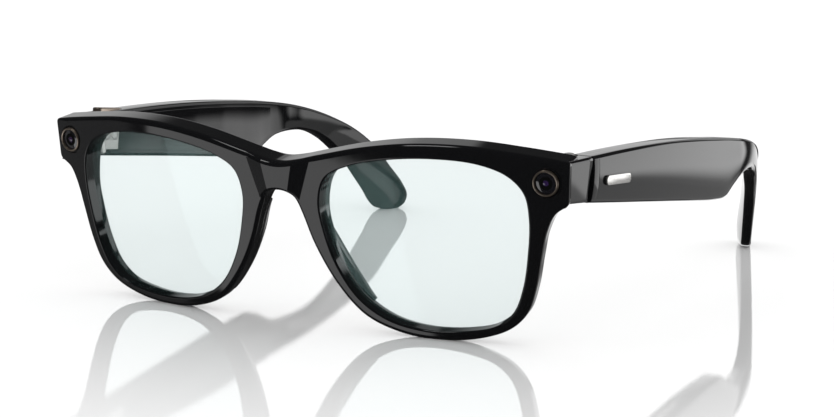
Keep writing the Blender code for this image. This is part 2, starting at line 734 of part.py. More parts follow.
def temple_section(station, inset=0.0, low=0.0, high=0.0, radius=STRIP_CORNER, corner_steps=1):
    """A ring across the temple. low and high are measured in from the inner and the outer face."""
    upper, lower, thickness = station
    centre = (upper + lower) / 2
    half = (upper - lower).length / 2 - inset
    along = (upper - lower).normalized()
    radius = min(radius, 0.42 * thickness)
    ring = []
    for depth, height in rounded_rectangle((low, -half), (thickness - high, half), radius, corner_steps):
        point = centre + along * height
        ring.append(Vector((outer_x(point.x) - thickness + depth, point.x, point.y)))
    return ring


def temple_outline_sections():
    """Rings of the outer shape, with one more point on the crowned face."""
    sections = []
    for station in temple_stations():
        ring = temple_section(station, radius=SHELL_CORNER, corner_steps=2)
        upper, lower, _ = station
        centre = (upper + lower) / 2
        crown = Vector((outer_x(centre.x) + OUTER_CROWN, centre.x, centre.y))
        sections.append(ring[:3] + [crown] + ring[3:])
    return sections


def temple_strip(start, end, inset, low, high):
    """A piece that follows the temple between two places along it."""
    places = np.linspace(start, end, STRIP_SECTIONS)
    return loft([temple_section(station_at(y), inset, low, high) for y in places])


def temple_strip_with_thickness(start, end, inset, thickness):
    """A strip on the inner face with a constant thickness."""
    sections = []
    for y in np.linspace(start, end, STRIP_SECTIONS):
        station = station_at(y)
        sections.append(temple_section(station, inset, 0.0, station[2] - thickness, COVER_CORNER))
    return loft(sections)


def temple_box(y, size, depth, rise=0.0):
    """A box in the temple's hollow: size is thickness, length, height; depth is from the inner face."""
    before = station_at(y - 5)
    after = station_at(y + 5)
    slope = (after[0] + after[1] - before[0] - before[1]) / 2
    upper, lower, thickness = station_at(y)
    centre = (upper + lower) / 2
    turn = Matrix.Rotation(math.atan2(slope.y, slope.x), 4, "X")
    middle = Vector((outer_x(y) - thickness + depth + size[0] / 2, centre.x, centre.y + rise))
    points, faces = centred_box(size)
    return [turn @ p + middle for p in points], faces


class Temple:
    """Makes pieces of one temple from world millimetres, parented to its hinge."""

    def __init__(self, name, side, hinge):
        self.name = name
        self.side = side
        self.hinge = hinge
        self.to_hinge = hinge_matrix(side).inverted()

    def make(self, label, shape, finish=None):
        shape = mirrored(shape, self.side)
        return make_object(f"{self.name}_{label}", shape, finish, self.hinge, self.to_hinge)

    def make_at_joint(self, label, shape, finish=None):
        place = joint_in_hinge(self.side)
        return make_object(f"{self.name}_{label}", mirrored(shape, self.side), finish, self.hinge, place)


def build_shell(temple, finishes):
    """The outer shell with its hollow, and the inner cover that closes it."""
    shell = temple.make("temple_shell", loft(temple_outline_sections()), finishes["black"])
    hollow = temple_strip(COVER_START - GAP, COVER_END + GAP, WALL, -BREAKOUT, WALL)
    apply_tool(shell, temple.make("temple_hollow", hollow))
    relief = cylinder(KNUCKLE_RADIUS + GAP, -PIN_REACH, PIN_REACH)
    apply_tool(shell, make_object(f"{temple.name}_temple_relief", relief, parent=temple.hinge))
    cut_foot(shell, temple.hinge.parent)
    inner = -TEMPLE_LEAF_INSET
    half = TEMPLE_LEAF_HALF + GAP
    recess = box((inner - BREAKOUT, 0, -half), (inner + LEAF_THICKNESS + GAP, TEMPLE_LEAF_LENGTH + GAP, half))
    apply_tool(shell, temple.make_at_joint("temple_leaf_recess", recess))
    for number, y in enumerate(TEMPLE_SCREWS_Y, 1):
        place = across_x(inner, y, temple.side)
        label = f"{temple.name}_shell_screw_hole_{number}"
        apply_tool(shell, make_object(label, leaf_screw(GAP), None, temple.hinge, place))
    cover = temple_strip_with_thickness(COVER_START, COVER_END, WALL + GAP, COVER_THICKNESS)
    cover = temple.make("temple_cover", cover, finishes["black"])
    return shell, cover


def build_badge(temple, shell, finishes):
    """A plain metal bar let into the outer face."""
    thickness, length, height = BADGE_SIZE
    face = station_at(BADGE_Y)[2] + OUTER_CROWN + BADGE_PROUD
    bar = temple_box(BADGE_Y, BADGE_SIZE, face - thickness, BADGE_RISE)
    soften(temple.make("temple_badge", bar, finishes["steel"]), 0.25)
    seat_size = (thickness + BREAKOUT, length + 2 * GAP, height + 2 * GAP)
    seat = temple_box(BADGE_Y, seat_size, face - thickness - GAP, BADGE_RISE)
    apply_tool(shell, temple.make("badge_seat", seat))


def build_speaker(temple, shell, finishes):
    """The speaker, and the metal mesh in its vent through the lower edge."""
    soften(temple.make("speaker", temple_box(*SPEAKER), finishes["dark_plastic"]), 0.6)
    temple.make("speaker_mesh", temple_box(*SPEAKER_MESH), finishes["steel"])
    apply_tool(shell, temple.make("speaker_vent", temple_box(*SPEAKER_VENT)))


def build_microphone(temple, shell, finishes):
    """The microphone, and its port through the lower edge."""
    temple.make("microphone", temple_box(*MICROPHONE), finishes["gold"])
    apply_tool(shell, temple.make("microphone_port", temple_box(*MICROPHONE_PORT)))


def build_left_temple(finishes, hinge):
    temple = Temple("left", 1, hinge)
    shell, cover = build_shell(temple, finishes)
    build_badge(temple, shell, finishes)
    build_speaker(temple, shell, finishes)
    build_microphone(temple, shell, finishes)
    soften(temple.make("battery", temple_box(*BATTERY), finishes["battery"]), 0.7)
    temple.make("switch_board", temple_box(*SWITCH_BOARD), finishes["board"])
    build_power_slider(temple, cover, finishes)


def build_power_slider(temple, cover, finishes):
    """The power slider in a slot through the inner cover, at the forward end of its travel."""
    start = SLIDER_Y - SLIDER_TRAVEL / 2
    size = (SLIDER_THICKNESS, SLIDER_LENGTH, SLIDER_WIDTH)
    slider = temple_box(start, size, -SLIDER_PROUD, SLIDER_RISE)
    soften(temple.make("power_slider", slider, finishes["dark_plastic"]), 0.2)
    slot_length = SLIDER_LENGTH + SLIDER_TRAVEL + 2 * GAP
    slot_size = (COVER_THICKNESS + 2 * BREAKOUT, slot_length, SLIDER_WIDTH + 2 * GAP)
    slot = temple_box(SLIDER_Y, slot_size, -BREAKOUT, SLIDER_RISE)
    apply_tool(cover, temple.make("slider_slot", slot))


def build_right_temple(finishes, hinge):
    temple = Temple("right", -1, hinge)
    shell, _ = build_shell(temple, finishes)
    build_badge(temple, shell, finishes)
    build_speaker(temple, shell, finishes)
    build_microphone(temple, shell, finishes)
    temple.make("main_board", temple_box(*MAIN_BOARD), finishes["board"])
    soften(temple.make("processor_shield", temple_box(*PROCESSOR_SHIELD), finishes["steel"]), 0.3)
    temple.make("touch_sensor", temple_box(*TOUCH_SENSOR), finishes["flex"])
    build_capture_button(temple, shell, finishes)


def button_block(y, grow, low, high):
    """The button's rounded bar between two heights in the joint's frame, grown all round."""
    half = Vector((BUTTON_WIDTH / 2 + grow, BUTTON_LENGTH / 2 + grow))
    middle = Vector((BUTTON_X, y))
    ring = rounded_rectangle(middle - half, middle + half, BUTTON_CORNER + grow)
    return loft([[Vector((*p, z)) for p in ring] for z in (low, high)])


def build_capture_button(temple, shell, finishes):
    """The bar on top of the temple, and the switch below it."""
    y = (BUTTON_Y - HINGE_Y) / math.cos(JOINT_LEAN)
    top = JOINT_HALF_HEIGHT + BUTTON_PROUD
    bar = button_block(y, 0.0, top - BUTTON_HEIGHT, top)
    soften(temple.make_at_joint("capture_button", bar, finishes["bronze"]), 0.25)
    pocket = button_block(y, GAP, POCKET_FLOOR, top + BREAKOUT)
    apply_tool(shell, temple.make_at_joint("button_pocket", pocket))
    across, along = SWITCH_HALF
    low = (BUTTON_X - across, y - along, SWITCH_LOW)
    switch = box(low, (BUTTON_X + across, y + along, SWITCH_HIGH))
    temple.make_at_joint("button_switch", switch, finishes["dark_plastic"])


# ---------------------------------------------------------------- assembly


def make_finishes():
    return {
        "black": material("gloss_black", (0.012, 0.012, 0.013), 0.12),
        "lens": material("clear_lens", (0.93, 0.98, 0.98), 0.02, alpha=0.15),
        "bronze": material("bronze_metal", (0.26, 0.22, 0.18), 0.3, 1.0),
        "steel": material("bright_steel", (0.62, 0.62, 0.62), 0.25, 1.0),
        "gold": material("gold_contact", (0.83, 0.62, 0.27), 0.25, 1.0),
        "dark_glass": material("dark_glass", (0.01, 0.01, 0.02), 0.03),
        "dark_plastic": material("dark_plastic", (0.03, 0.03, 0.03), 0.45),
        "board": material("circuit_board", (0.02, 0.08, 0.05), 0.4),
        "flex": material("flex_film", (0.55, 0.3, 0.08), 0.35),
        "battery": material("battery_foil", (0.55, 0.55, 0.57), 0.3, 0.6),
    }


def module_axis(name, side, root):
    """An empty at a window's centre, with Z pointing out of the face."""
    rise = (MODULE_V - CURVE_MIDDLE) / CURVE_UPRIGHT
    facing = Vector((side * math.tan(MODULE_TURN), -1.0, rise))
    facing = Matrix.Rotation(FRONT_LEAN, 3, "X") @ facing
    location = front_point(side * MODULE_U, MODULE_V)
    return axis_empty(f"{name}_module_axis", location, facing.to_track_quat("Z", "Y"), root)


def build_glasses():
    finishes = make_finishes()
    root = axis_empty("front_origin", (0, -MIDDLE_Y, -SEAT_HEIGHT), Matrix.Identity(3).to_quaternion())
    hinges = {}
    modules = {}
    for name, side in SIDES.items():
        place = hinge_matrix(side)
        hinges[name] = axis_empty(f"{name}_hinge_axis", place.translation / MM, place.to_quaternion(), root)
        modules[name] = module_axis(name, side, root)
    build_front_frame(finishes["black"], root, hinges, modules)
    build_front_details(finishes, root)
    build_module("camera", "optics", finishes, modules["left"])
    build_module("light", "emitter", finishes, modules["right"])
    for name, side in SIDES.items():
        build_hinge(name, side, finishes, hinges[name])
    build_left_temple(finishes, hinges["left"])
    build_right_temple(finishes, hinges["right"])


clear_scene()
build_glasses()
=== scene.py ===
"""Looks for the smart glasses: fine geometry, materials, floor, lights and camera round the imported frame.

Lengths are millimetres in the front plate's frame: X to the wearer's left, Y rearward, Z up, with zero on the
middle line where the plate's two curves meet. PLATE_ZERO carries them to the row frame.
"""

import json
import math

import bmesh
import bpy
import numpy as np
from mathutils import Matrix, Vector
from mathutils.geometry import delaunay_2d_cdt


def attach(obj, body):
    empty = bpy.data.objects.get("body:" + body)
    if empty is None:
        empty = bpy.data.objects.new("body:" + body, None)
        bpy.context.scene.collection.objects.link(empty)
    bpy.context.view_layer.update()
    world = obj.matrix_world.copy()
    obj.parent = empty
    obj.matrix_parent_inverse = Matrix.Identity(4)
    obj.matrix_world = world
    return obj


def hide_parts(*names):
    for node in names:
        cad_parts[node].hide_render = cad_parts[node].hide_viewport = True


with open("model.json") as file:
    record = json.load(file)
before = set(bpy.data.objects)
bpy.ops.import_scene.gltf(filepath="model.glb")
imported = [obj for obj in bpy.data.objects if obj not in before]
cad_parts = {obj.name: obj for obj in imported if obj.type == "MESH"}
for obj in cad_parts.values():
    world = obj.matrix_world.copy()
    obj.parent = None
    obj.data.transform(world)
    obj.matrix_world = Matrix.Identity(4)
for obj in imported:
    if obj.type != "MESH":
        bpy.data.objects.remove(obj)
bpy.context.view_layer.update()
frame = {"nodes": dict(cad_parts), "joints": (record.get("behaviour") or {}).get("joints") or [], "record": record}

MM = 0.001
SIDES = {"left": 1, "right": -1}
ON_AXIS = 1e-4  # stands for radius 0 in a turned shape
FAR = 9.0  # tools reach this far, clear of the piece that they cut

# The record's hinge pins place everything else
PIN = {joint["child"]: joint for joint in frame["joints"]}["left_temple"]
HINGE_X, HINGE_Y, HINGE_Z = 63.9, 12.35, 38.05
PLATE_ZERO = Vector(PIN["pos_m"]) / MM - Vector((HINGE_X, HINGE_Y, HINGE_Z))
PIN_DIRECTION = Vector(PIN["axis"]).normalized()
JOINT_LEAN = math.radians(7.0)
FLOOR = -PLATE_ZERO.z

# Front plate
FRONT_LEAN = math.radians(9.3)
CURVE_ACROSS = 273.0
CURVE_UPRIGHT = 262.0
CURVE_MIDDLE = 20.0
RIM_DEPTH = 3.5  # at the outer edge
OPENING_DEPTH = 4.9  # at the lens opening
BROW_DEPTH = 5.95
BROW_START = 24.0
BROW_FULL = 36.0
OUTLINE_CORNER = 0.9
EDGE_ROUND = 1.0  # front edge of the outline
CORNER_ROUND = 0.5  # the same edge at the end pieces' corners
CORNER_REACH = (1.0, 4.0)  # distance from a corner over which the one becomes the other
OPENING_ROUND = 0.4
REAR_ROUND = 0.5
SUPPORT = 0.12  # a flat margin beside each rounding, so that shading stays crisp
WALL_ROWS = (0.05, 0.3, 0.6, 0.65, 0.9)  # shares of a wall's depth that carry a row of points
FACE_GRID = 1.5
REAR_GRID = 1.8

# Bridge: a middle panel between two facets, bounded by straight creases
BRIDGE_RISE = 0.8  # how far the middle panel stands proud
BRIDGE_TOP = 39.9
BRIDGE_LOW = 31.6
BRIDGE_END = 27.6  # below all of it
BRIDGE_INNER = (4.2, 2.4)  # crease of the middle panel: u at the top and at the bottom
BRIDGE_OUTER = (8.4, 5.6)
CREASE_ZONE = (12.0, 28.0)  # furthest X and lowest Z of the creases
CREASE_WIDTH = 0.2

# Lenses
LENS_SETBACK = 1.8
LENS_THICKNESS = 1.6
LENS_LIP = 0.25
TURN_BACK = 0.015  # for each millimetre outwards, how much more a lens or a pad lies behind the face
TURN_START = 10.0
FLARE = 0.7  # the opening widens behind the lens along its bottom
FLARE_START = 3.2

# End pieces: corners of the block in the plate, and about the hinge at the joint
END_AT_PLATE = [(63.0, 32.6), (68.07, 32.55), (68.57, 41.87), (63.0, 42.65)]
END_AT_JOINT = [(-1.9, -5.05), (5.0, -5.05), (5.6, 5.05), (-1.9, 5.05)]
END_SINK = 1.0  # how far behind the face the block starts
END_GAP = 0.15  # between the block and the joint
END_ROUND = 0.09  # of the block's width and height
END_BREAK = 0.02  # the same, at the sharp edge round the joint
END_ROWS = (0.0, 0.02, 0.2, 0.4, 0.6, 0.8, 0.96, 1.0)

# Room for the hinges: a round relief about the pin, and boxes about the hinge
RELIEF = [(0, -FAR), (2.2, -FAR), (2.2, FAR), (0, FAR)]
FRONT_RECESS = ((-4.5, -4.5, -4.3), (-0.6, 2.0, 4.3))
TEMPLE_RECESSES = (((-2.2, 0.0, -3.9), (1.1, 9.3, 3.9)), ((-2.2, -1.0, -4.7), (1.7, 3.2, 4.7)))

# Nose pads
PAD_RANGE = (4.5, 28.5)  # v of the lower edge where a pad starts and ends
PAD_REACH = 30.0  # its furthest u
PAD_WIDTH = 3.0
PAD_HEIGHT = 2.8
PAD_ROUND = 0.45
PAD_SWELL = (0.12, 0.83, 0.7)  # start, span and power of the half wave that shapes its height
PAD_TAPER = 0.35  # how much narrower it is at its top
PAD_LEAN = 0.3  # sideways for each millimetre of height
PAD_RIM = 4.2  # depth of the rim that carries it
PAD_ROOT = 0.5  # how deep it sinks into the rim
PAD_BASE = 0.7

# Camera at the wearer's left, light at the right: (radius, height) profiles about the window's middle
MODULE_U, MODULE_V = 63.4, 37.5
MODULE_TURN = math.radians(8.0)
BEZEL = [
    (2.95, -0.6), (2.95, 0.42), (2.9, 0.58), (2.78, 0.68), (2.6, 0.7), (2.48, 0.64), (2.42, 0.5),
    (2.38, 0.1), (2.38, -0.6),
]
SEAT = [(3.4, -0.4), (3.4, 0.1), (3.3, 0.16), (3.1, 0.05), (3.0, -0.1), (2.97, -0.4)]
COVER_GLASS = [(0, -0.2), (2.38, -0.2), (2.38, 0.16), (2.0, 0.24), (1.0, 0.3), (0, 0.33)]
INNER_RING = [(0.72, 0.28), (1.5, 0.24), (1.5, 0.29), (1.4, 0.32), (0.78, 0.35), (0.72, 0.33)]
DOME = [(0, 0.2), (0.7, 0.2), (0.7, 0.3), (0.55, 0.4), (0.3, 0.46), (0, 0.48)]

# Temples
TEMPLE_X = 69.5
TEMPLE_SPLAY = 0.018  # outwards for each millimetre back
TEMPLE_BOW = 0.6
BEND_Y = 95.0
BEND_RATE = 0.0179
BEND_POWER = 1.75
OUTER_CROWN = 0.35
TOP_CHAMFER = 0.7  # the band between the top and the outer face
CHAMFER_LIMIT = 0.35  # its most, as a share of the thickness
CHAMFER_FADE = (96.0, 125.0)  # where it gives way to the rounder tip
EDGE_SOFT = 0.28  # rounding at the chamfer's edges
TIP_SOFT = 0.9  # added to it at the tip
TIP_FLAT = 0.3
BOTTOM_ROUND = 1.1
INNER_ROUND = 1.0
ROUND_LIMIT = 0.42  # the most of both, as a share of the thickness
FRONT_SHRINK, FRONT_STEP = 0.97, 0.12  # the broken edge at the joint
TIP_SHRINK = 0.75

# On a temple: place along it, depth from its inner face and rise, then the size
SPEAKER_VENT = ((62.0, 3.1, -6.9), (2.4, 12.6, 5.0))
MICROPHONE_PORT = ((28.5, 2.2, -5.6), (0.8, 0.8, 4.0))
SLIDER_SLOT = ((31.0, 0.0, 1.4), (3.0, 6.0, 2.6))
SPEAKER = ((82.0, 2.8, 0.0), (2.2, 10.0, 7.2))
BADGE_Y, BADGE_RISE = 24.0, -0.4
BADGE_SIZE = (0.7, 13.0, 2.2)
BADGE_ROUND = 1.1
BADGE_EDGE = 0.2
BADGE_PROUD = 0.02
COVER_RANGE = (24.8, 95.7)
COVER_INSET = 1.5
COVER_DEPTHS = (-0.04, 1.0)
COVER_ROUND = 0.18

# Capture button, about the right hinge: (inset, height) rows of its crown
BUTTON_LOW, BUTTON_HIGH = Vector((1.85, 3.2)), Vector((4.35, 12.8))
BUTTON_ROUND = 1.0
BUTTON_CROWN = ((0.0, 3.75), (0.0, 6.2), (0.05, 6.36), (0.2, 6.48), (0.5, 6.54), (0.9, 6.55))
BUTTON_GAP = Vector((0.3, 0.3))
POCKET_FLOOR = 3.2

# Studio
FLOOR_REACH = 3.0  # metres
MIRROR_SHARE = 0.5
MIRROR_FADE = (-0.24, -0.03)  # metres of Y over which the floor's mirror comes in
BAND_AZIMUTH = math.radians(31)
ROOM_LIGHT = (0.06, 0.9)  # in mirrors: the dim room and the band
WHITE_LIGHT = 1.07
AZIMUTH = math.radians(30.44)
ELEVATION = math.radians(10.22)
VIEW_TARGET = Vector((0, 30, 22))
VIEW_DISTANCE = 548.4
LENS_MM = 98.94
SENSOR_MM = 36
VIEW_SHIFT = (0.0717, 0.0035)

# Wearer's left half of the front: u outwards, v upwards
LENS_OPENING = [
    (34.0, 2.0), (44.0, 2.4), (50.6, 4.1), (54.6, 7.5), (57.1, 13.3), (58.7, 21.5), (59.3, 29.0),
    (58.4, 34.8), (55.0, 38.6), (48.5, 41.1), (38.5, 42.0), (27.0, 41.3), (17.6, 39.3), (12.2, 36.4),
    (10.3, 31.0), (11.2, 23.8), (13.8, 15.8), (18.6, 8.4), (25.3, 3.9),
]
TOP_EDGE = [
    (0.0, 39.4), (4.5, 40.0), (10.0, 41.3), (21.0, 43.7), (33.0, 45.1), (46.0, 45.0), (58.0, 43.6),
    (68.6, 41.9),
]
LOWER_EDGE = [
    (68.1, 32.5), (64.9, 30.2), (63.0, 26.3), (61.6, 20.5), (59.9, 13.0), (57.6, 7.3), (53.6, 3.3),
    (46.5, 0.6), (37.0, -0.4), (28.0, 0.6), (19.5, 4.1), (13.3, 10.9), (8.2, 20.2), (5.2, 28.3),
    (3.4, 31.6), (0.0, 32.6),
]

# Upper edge, lower edge and thickness of a temple, from the hinge to the tip
TEMPLE_STATIONS = [
    ((13.1, 43.1), (11.9, 32.9), 6.0),
    ((27.0, 42.7), (25.5, 31.0), 6.0),
    ((42.0, 42.0), (40.0, 29.0), 6.0),
    ((57.0, 41.0), (55.0, 26.9), 6.2),
    ((70.0, 39.8), (69.0, 24.9), 6.2),
    ((80.5, 38.6), (81.0, 23.3), 5.3),
    ((86.5, 37.9), (88.2, 23.0), 4.8),
    ((92.5, 37.1), (92.7, 24.8), 4.5),
    ((98.5, 36.2), (98.5, 26.8), 4.4),
    ((106.5, 34.7), (106.2, 27.4), 4.5),
    ((115.0, 32.4), (114.0, 26.2), 4.2),
    ((123.0, 29.3), (119.4, 23.4), 3.7),
    ((130.5, 25.3), (123.9, 19.6), 3.3),
    ((136.7, 20.1), (128.2, 15.8), 3.1),
    ((141.8, 13.2), (131.8, 10.8), 3.0),
    ((145.3, 8.3), (134.6, 6.6), 2.9),
    ((147.0, 4.4), (136.4, 3.4), 2.8),
    ((146.3, 1.8), (138.2, 1.4), 2.7),
    ((144.5, 0.45), (140.6, 0.45), 2.5),
]

# ---- curves


def smooth_curve(points, steps, closed=False):
    """Points on the centripetal Catmull-Rom curve through the given ones."""
    points = [Vector(p) for p in points]
    if closed:
        points = [points[-1], *points, points[0], points[1]]
    else:
        points = [2 * points[0] - points[1], *points, 2 * points[-1] - points[-2]]
    curve = []
    for a, b, c, d in zip(points, points[1:], points[2:], points[3:]):
        t1 = math.sqrt((b - a).length)
        t2 = t1 + math.sqrt((c - b).length)
        t3 = t2 + math.sqrt((d - c).length)
        for step in range(steps):
            t = t1 + (t2 - t1) * step / steps
            ab = a.lerp(b, t / t1)
            bc = b.lerp(c, (t - t1) / (t2 - t1))
            cd = c.lerp(d, (t - t2) / (t3 - t2))
            abc = ab.lerp(bc, t / t2)
            bcd = bc.lerp(cd, (t - t1) / (t3 - t1))
            curve.append(abc.lerp(bcd, (t - t1) / (t2 - t1)))
    if not closed:
        curve.append(points[-2])
    return curve


def outline_normals(outline):
    """Outward mitre vectors of a counter-clockwise outline: adding one moves both neighbours' sides by 1."""
    normals = []
    for i, point in enumerate(outline):
        before = (point - outline[i - 1]).normalized()
        after = (outline[(i + 1) % len(outline)] - point).normalized()
        total = Vector((before.y + after.y, -before.x - after.x))
        normals.append(total * (2 / max(total.length_squared, 0.5)))
    return normals


def round_corner(outline, corner, radius, steps=5):
    """Swaps the outline's point nearest to the corner for an arc."""
    i = min(range(len(outline)), key=lambda k: (outline[k] - Vector(corner)).length)
    point = outline[i]
    start = point + (outline[i - 1] - point).normalized() * radius
    end = point + (outline[(i + 1) % len(outline)] - point).normalized() * radius
    arc = []
    for step in range(steps + 1):
        t = step / steps
        arc.append(start.lerp(point, t).lerp(point.lerp(end, t), t))
    return outline[:i] + arc + outline[i + 1 :]


def smoothstep(value, low, high):
    t = min(max((value - low) / (high - low), 0.0), 1.0)
    return t * t * (3 - 2 * t)


def rounded_rectangle(low, high, radius, corner_steps=4):
    """Counter-clockwise points of a rectangle with round corners."""
    corners = [
        ((high[0] - radius, low[1] + radius), -90),
        ((high[0] - radius, high[1] - radius), 0),
        ((low[0] + radius, high[1] - radius), 90),
        ((low[0] + radius, low[1] + radius), 180),
    ]
    points = []
    for (x, y), start in corners:
        for step in range(corner_steps + 1):
            angle = math.radians(start + 90 * step / corner_steps)
            points.append(Vector((x + radius * math.cos(angle), y + radius * math.sin(angle))))
    return points


def lens_outline(side, steps=8, grow=0.0):
    outline = smooth_curve(LENS_OPENING, steps, closed=True)
    outline = [p + n * grow for p, n in zip(outline, outline_normals(outline))]
    if side > 0:
        return outline
    return [Vector((-p.x, p.y)) for p in reversed(outline)]


def across_middle(half):
    """A curve's points from the wearer's left end to the right one, from those of the left half."""
    return [*half, *((-u, v) for u, v in reversed(half[:-1]))]


def front_outline():
    top = smooth_curve(across_middle(TOP_EDGE[::-1]), 8)
    low = smooth_curve(across_middle(LOWER_EDGE), 6)
    outline = top + low[::-1]
    for side in SIDES.values():
        for corner in (TOP_EDGE[-1], LOWER_EDGE[0]):
            outline = round_corner(outline, (side * corner[0], corner[1]), OUTLINE_CORNER)
    for line in crease_lines():
        outline = split_by_line(outline, *line)
    return outline


def crease_lines():
    """The bridge's four creases, each as a top and a bottom point."""
    lines = []
    for side in SIDES.values():
        for top, low in (BRIDGE_INNER, BRIDGE_OUTER):
            lines.append((Vector((side * top, BRIDGE_TOP)), Vector((side * low, BRIDGE_LOW))))
    return lines


def split_by_line(outline, top, low):
    """Adds the outline's crossings with a line near the bridge."""
    along = low - top
    across = Vector((along.y, -along.x)).normalized()
    split = []
    for i, point in enumerate(outline):
        split.append(point)
        ahead = outline[(i + 1) % len(outline)]
        here, there = (point - top).dot(across), (ahead - top).dot(across)
        if here * there < 0 and min(point.y, ahead.y) > BRIDGE_END:
            split.append(point.lerp(ahead, here / (here - there)))
    return split


# ---- shapes


def front_point(u, v, depth=0.0):
    """A point the given depth behind the front plate's face."""
    back = u * u / (2 * CURVE_ACROSS) + (v - CURVE_MIDDLE) ** 2 / (2 * CURVE_UPRIGHT) + depth
    y = back * math.cos(FRONT_LEAN) - v * math.sin(FRONT_LEAN)
    z = back * math.sin(FRONT_LEAN) + v * math.cos(FRONT_LEAN)
    return Vector((u * (1 - depth / (2 * CURVE_ACROSS)), y, z))


def bridge_panel(u, v):
    """How far a point of the face stands proud: 1 on the bridge's middle panel, 0 past its two facets."""
    if abs(u) > BRIDGE_OUTER[0] or v < BRIDGE_END:
        return 0.0
    down = (BRIDGE_TOP - v) / (BRIDGE_TOP - BRIDGE_LOW)
    inner = BRIDGE_INNER[0] + (BRIDGE_INNER[1] - BRIDGE_INNER[0]) * down
    outer = BRIDGE_OUTER[0] + (BRIDGE_OUTER[1] - BRIDGE_OUTER[0]) * down
    return min(max((outer - abs(u)) / (outer - inner), 0.0), 1.0)


def face_point(p):
    """The point of the face, with the bridge's relief, at a flat one."""
    return front_point(p.x, p.y, -BRIDGE_RISE * bridge_panel(p.x, p.y))


def brow_depth(rim, v):
    """The plate's depth at a height, thickening from the rim's to the brow's."""
    return rim + (BROW_DEPTH - rim) * smoothstep(v, BROW_START, BROW_FULL)


def turn_back(u):
    """How much further than the face a lens or a pad lies back at a distance from the middle."""
    return TURN_BACK * max(abs(u) - TURN_START, 0)


def loft(sections, ends="capped"):
    """Points and faces that join equal rings of points, its ends capped, open or joined to each other."""
    count = len(sections[0])
    points = [p for section in sections for p in section]
    faces = []
    for ring in range(len(sections) if ends == "joined" else len(sections) - 1):
        a = ring * count
        b = (ring + 1) % len(sections) * count
        for i in range(count):
            j = (i + 1) % count
            faces.append((a + i, a + j, b + j, b + i))
    if ends == "capped":
        last = (len(sections) - 1) * count
        faces.append(tuple(reversed(range(count))))
        faces.append(tuple(range(last, last + count)))
    return points, faces


def turned(profile, segments=48, ends="capped"):
    """A solid turned about Z from (radius, height) pairs that start and end on the axis."""
    angles = [2 * math.pi * i / segments for i in range(segments)]
    rings = []
    for radius, height in profile:
        reach = max(radius, ON_AXIS)
        rings.append([Vector((reach * math.cos(a), reach * math.sin(a), height)) for a in angles])
    return loft(rings, ends)


def ring_solid(profile):
    """A ring turned about Z from a closed profile of (radius, height) pairs."""
    return turned(profile, 64, "joined")


def box_shape(low, high):
    corners = [(low[0], low[1]), (high[0], low[1]), (high[0], high[1]), (low[0], high[1])]
    return loft([[Vector((x, y, z)) for x, y in corners] for z in (low[2], high[2])])


def mirrored(shape, side):
    points, faces = shape
    if side > 0:
        return shape
    return [Vector((-p.x, p.y, p.z)) for p in points], [tuple(reversed(f)) for f in faces]


def placed(shape, place):
    points, faces = shape
    return [place @ Vector(p) for p in points], faces


def inside(point, outline):
    """True if the 2-D point lies inside the outline."""
    found = False
    for i, a in enumerate(outline):
        b = outline[i - 1]
        if (a.y > point.y) != (b.y > point.y):
            if point.x < a.x + (point.y - a.y) / (b.y - a.y) * (b.x - a.x):
                found = not found
    return found


def in_region(point, loops):
    """True inside the first loop and outside the others."""
    return inside(point, loops[0]) and not any(inside(point, hole) for hole in loops[1:])


def fill_region(loops, spacing, paths=()):
    """Triangles over the first loop less the others, with a grid of points inside.

    Each path is (first loop's point, points between, first loop's point) and is kept as a row of edges."""
    outline = np.array([p for loop in loops for p in loop])
    low, high = outline.min(0), outline.max(0)
    points = [Vector(p) for p in outline]
    edges = []
    start = 0
    for loop in loops:
        edges += [(start + i, start + (i + 1) % len(loop)) for i in range(len(loop))]
        start += len(loop)
    for first, between, last in paths:
        row = [first, *range(len(points), len(points) + len(between)), last]
        points += between
        edges += list(zip(row, row[1:]))
    fixed = np.array(points)
    for row, v in enumerate(np.arange(low[1] + spacing, high[1], spacing * 0.87)):
        for u in np.arange(low[0] + spacing * (0.5 + 0.5 * (row % 2)), high[0], spacing):
            spot = Vector((u, v))
            if np.min(np.hypot(fixed[:, 0] - u, fixed[:, 1] - v)) > spacing * 0.6 and in_region(spot, loops):
                points.append(spot)
    made, _, triangles, _, _, _ = delaunay_2d_cdt(points, edges, [], 1, 1e-6)
    kept = []
    for triangle in triangles:
        middle = sum((made[i] for i in triangle), Vector((0, 0))) / 3
        if in_region(middle, loops):
            kept.append(triangle)
    return made, kept


# ---- pieces


def new_object(name, data):
    made = bpy.data.objects.new(name, data)
    bpy.context.scene.collection.objects.link(made)
    return made


def make_piece(name, shape, body, finish, smooth, place=None):
    """A mesh piece from millimetres, riding on a CAD body; edges under the smooth angle are shaded over."""
    points, faces = shape
    mesh = bpy.data.meshes.new(name)
    move = place or Matrix.Identity(4)
    mesh.from_pydata([((move @ Vector(p)) + PLATE_ZERO) * MM for p in points], [], faces)
    piece = new_object(name, mesh)
    mesh.validate()
    weld_and_face_out(mesh)
    if smooth:
        mesh.shade_smooth()
        mesh.set_sharp_from_angle(angle=math.radians(smooth))
    if finish:
        mesh.materials.append(finish)
    if body:
        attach(piece, body)
    return piece


def take_place(node):
    """Shows the piece instead of a CAD node."""
    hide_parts(node)


def weld_and_face_out(mesh):
    work = bmesh.new()
    work.from_mesh(mesh)
    bmesh.ops.remove_doubles(work, verts=work.verts, dist=2e-6)
    bmesh.ops.recalc_face_normals(work, faces=work.faces)
    work.to_mesh(mesh)
    work.free()


def keep_faces_flat(piece):
    """Leans the shading to the larger faces, so that roundings stay inside their own edges."""
    modifier = piece.modifiers.new("flat_faces", "WEIGHTED_NORMAL")
    modifier.mode = "FACE_AREA"
    modifier.keep_sharp = True


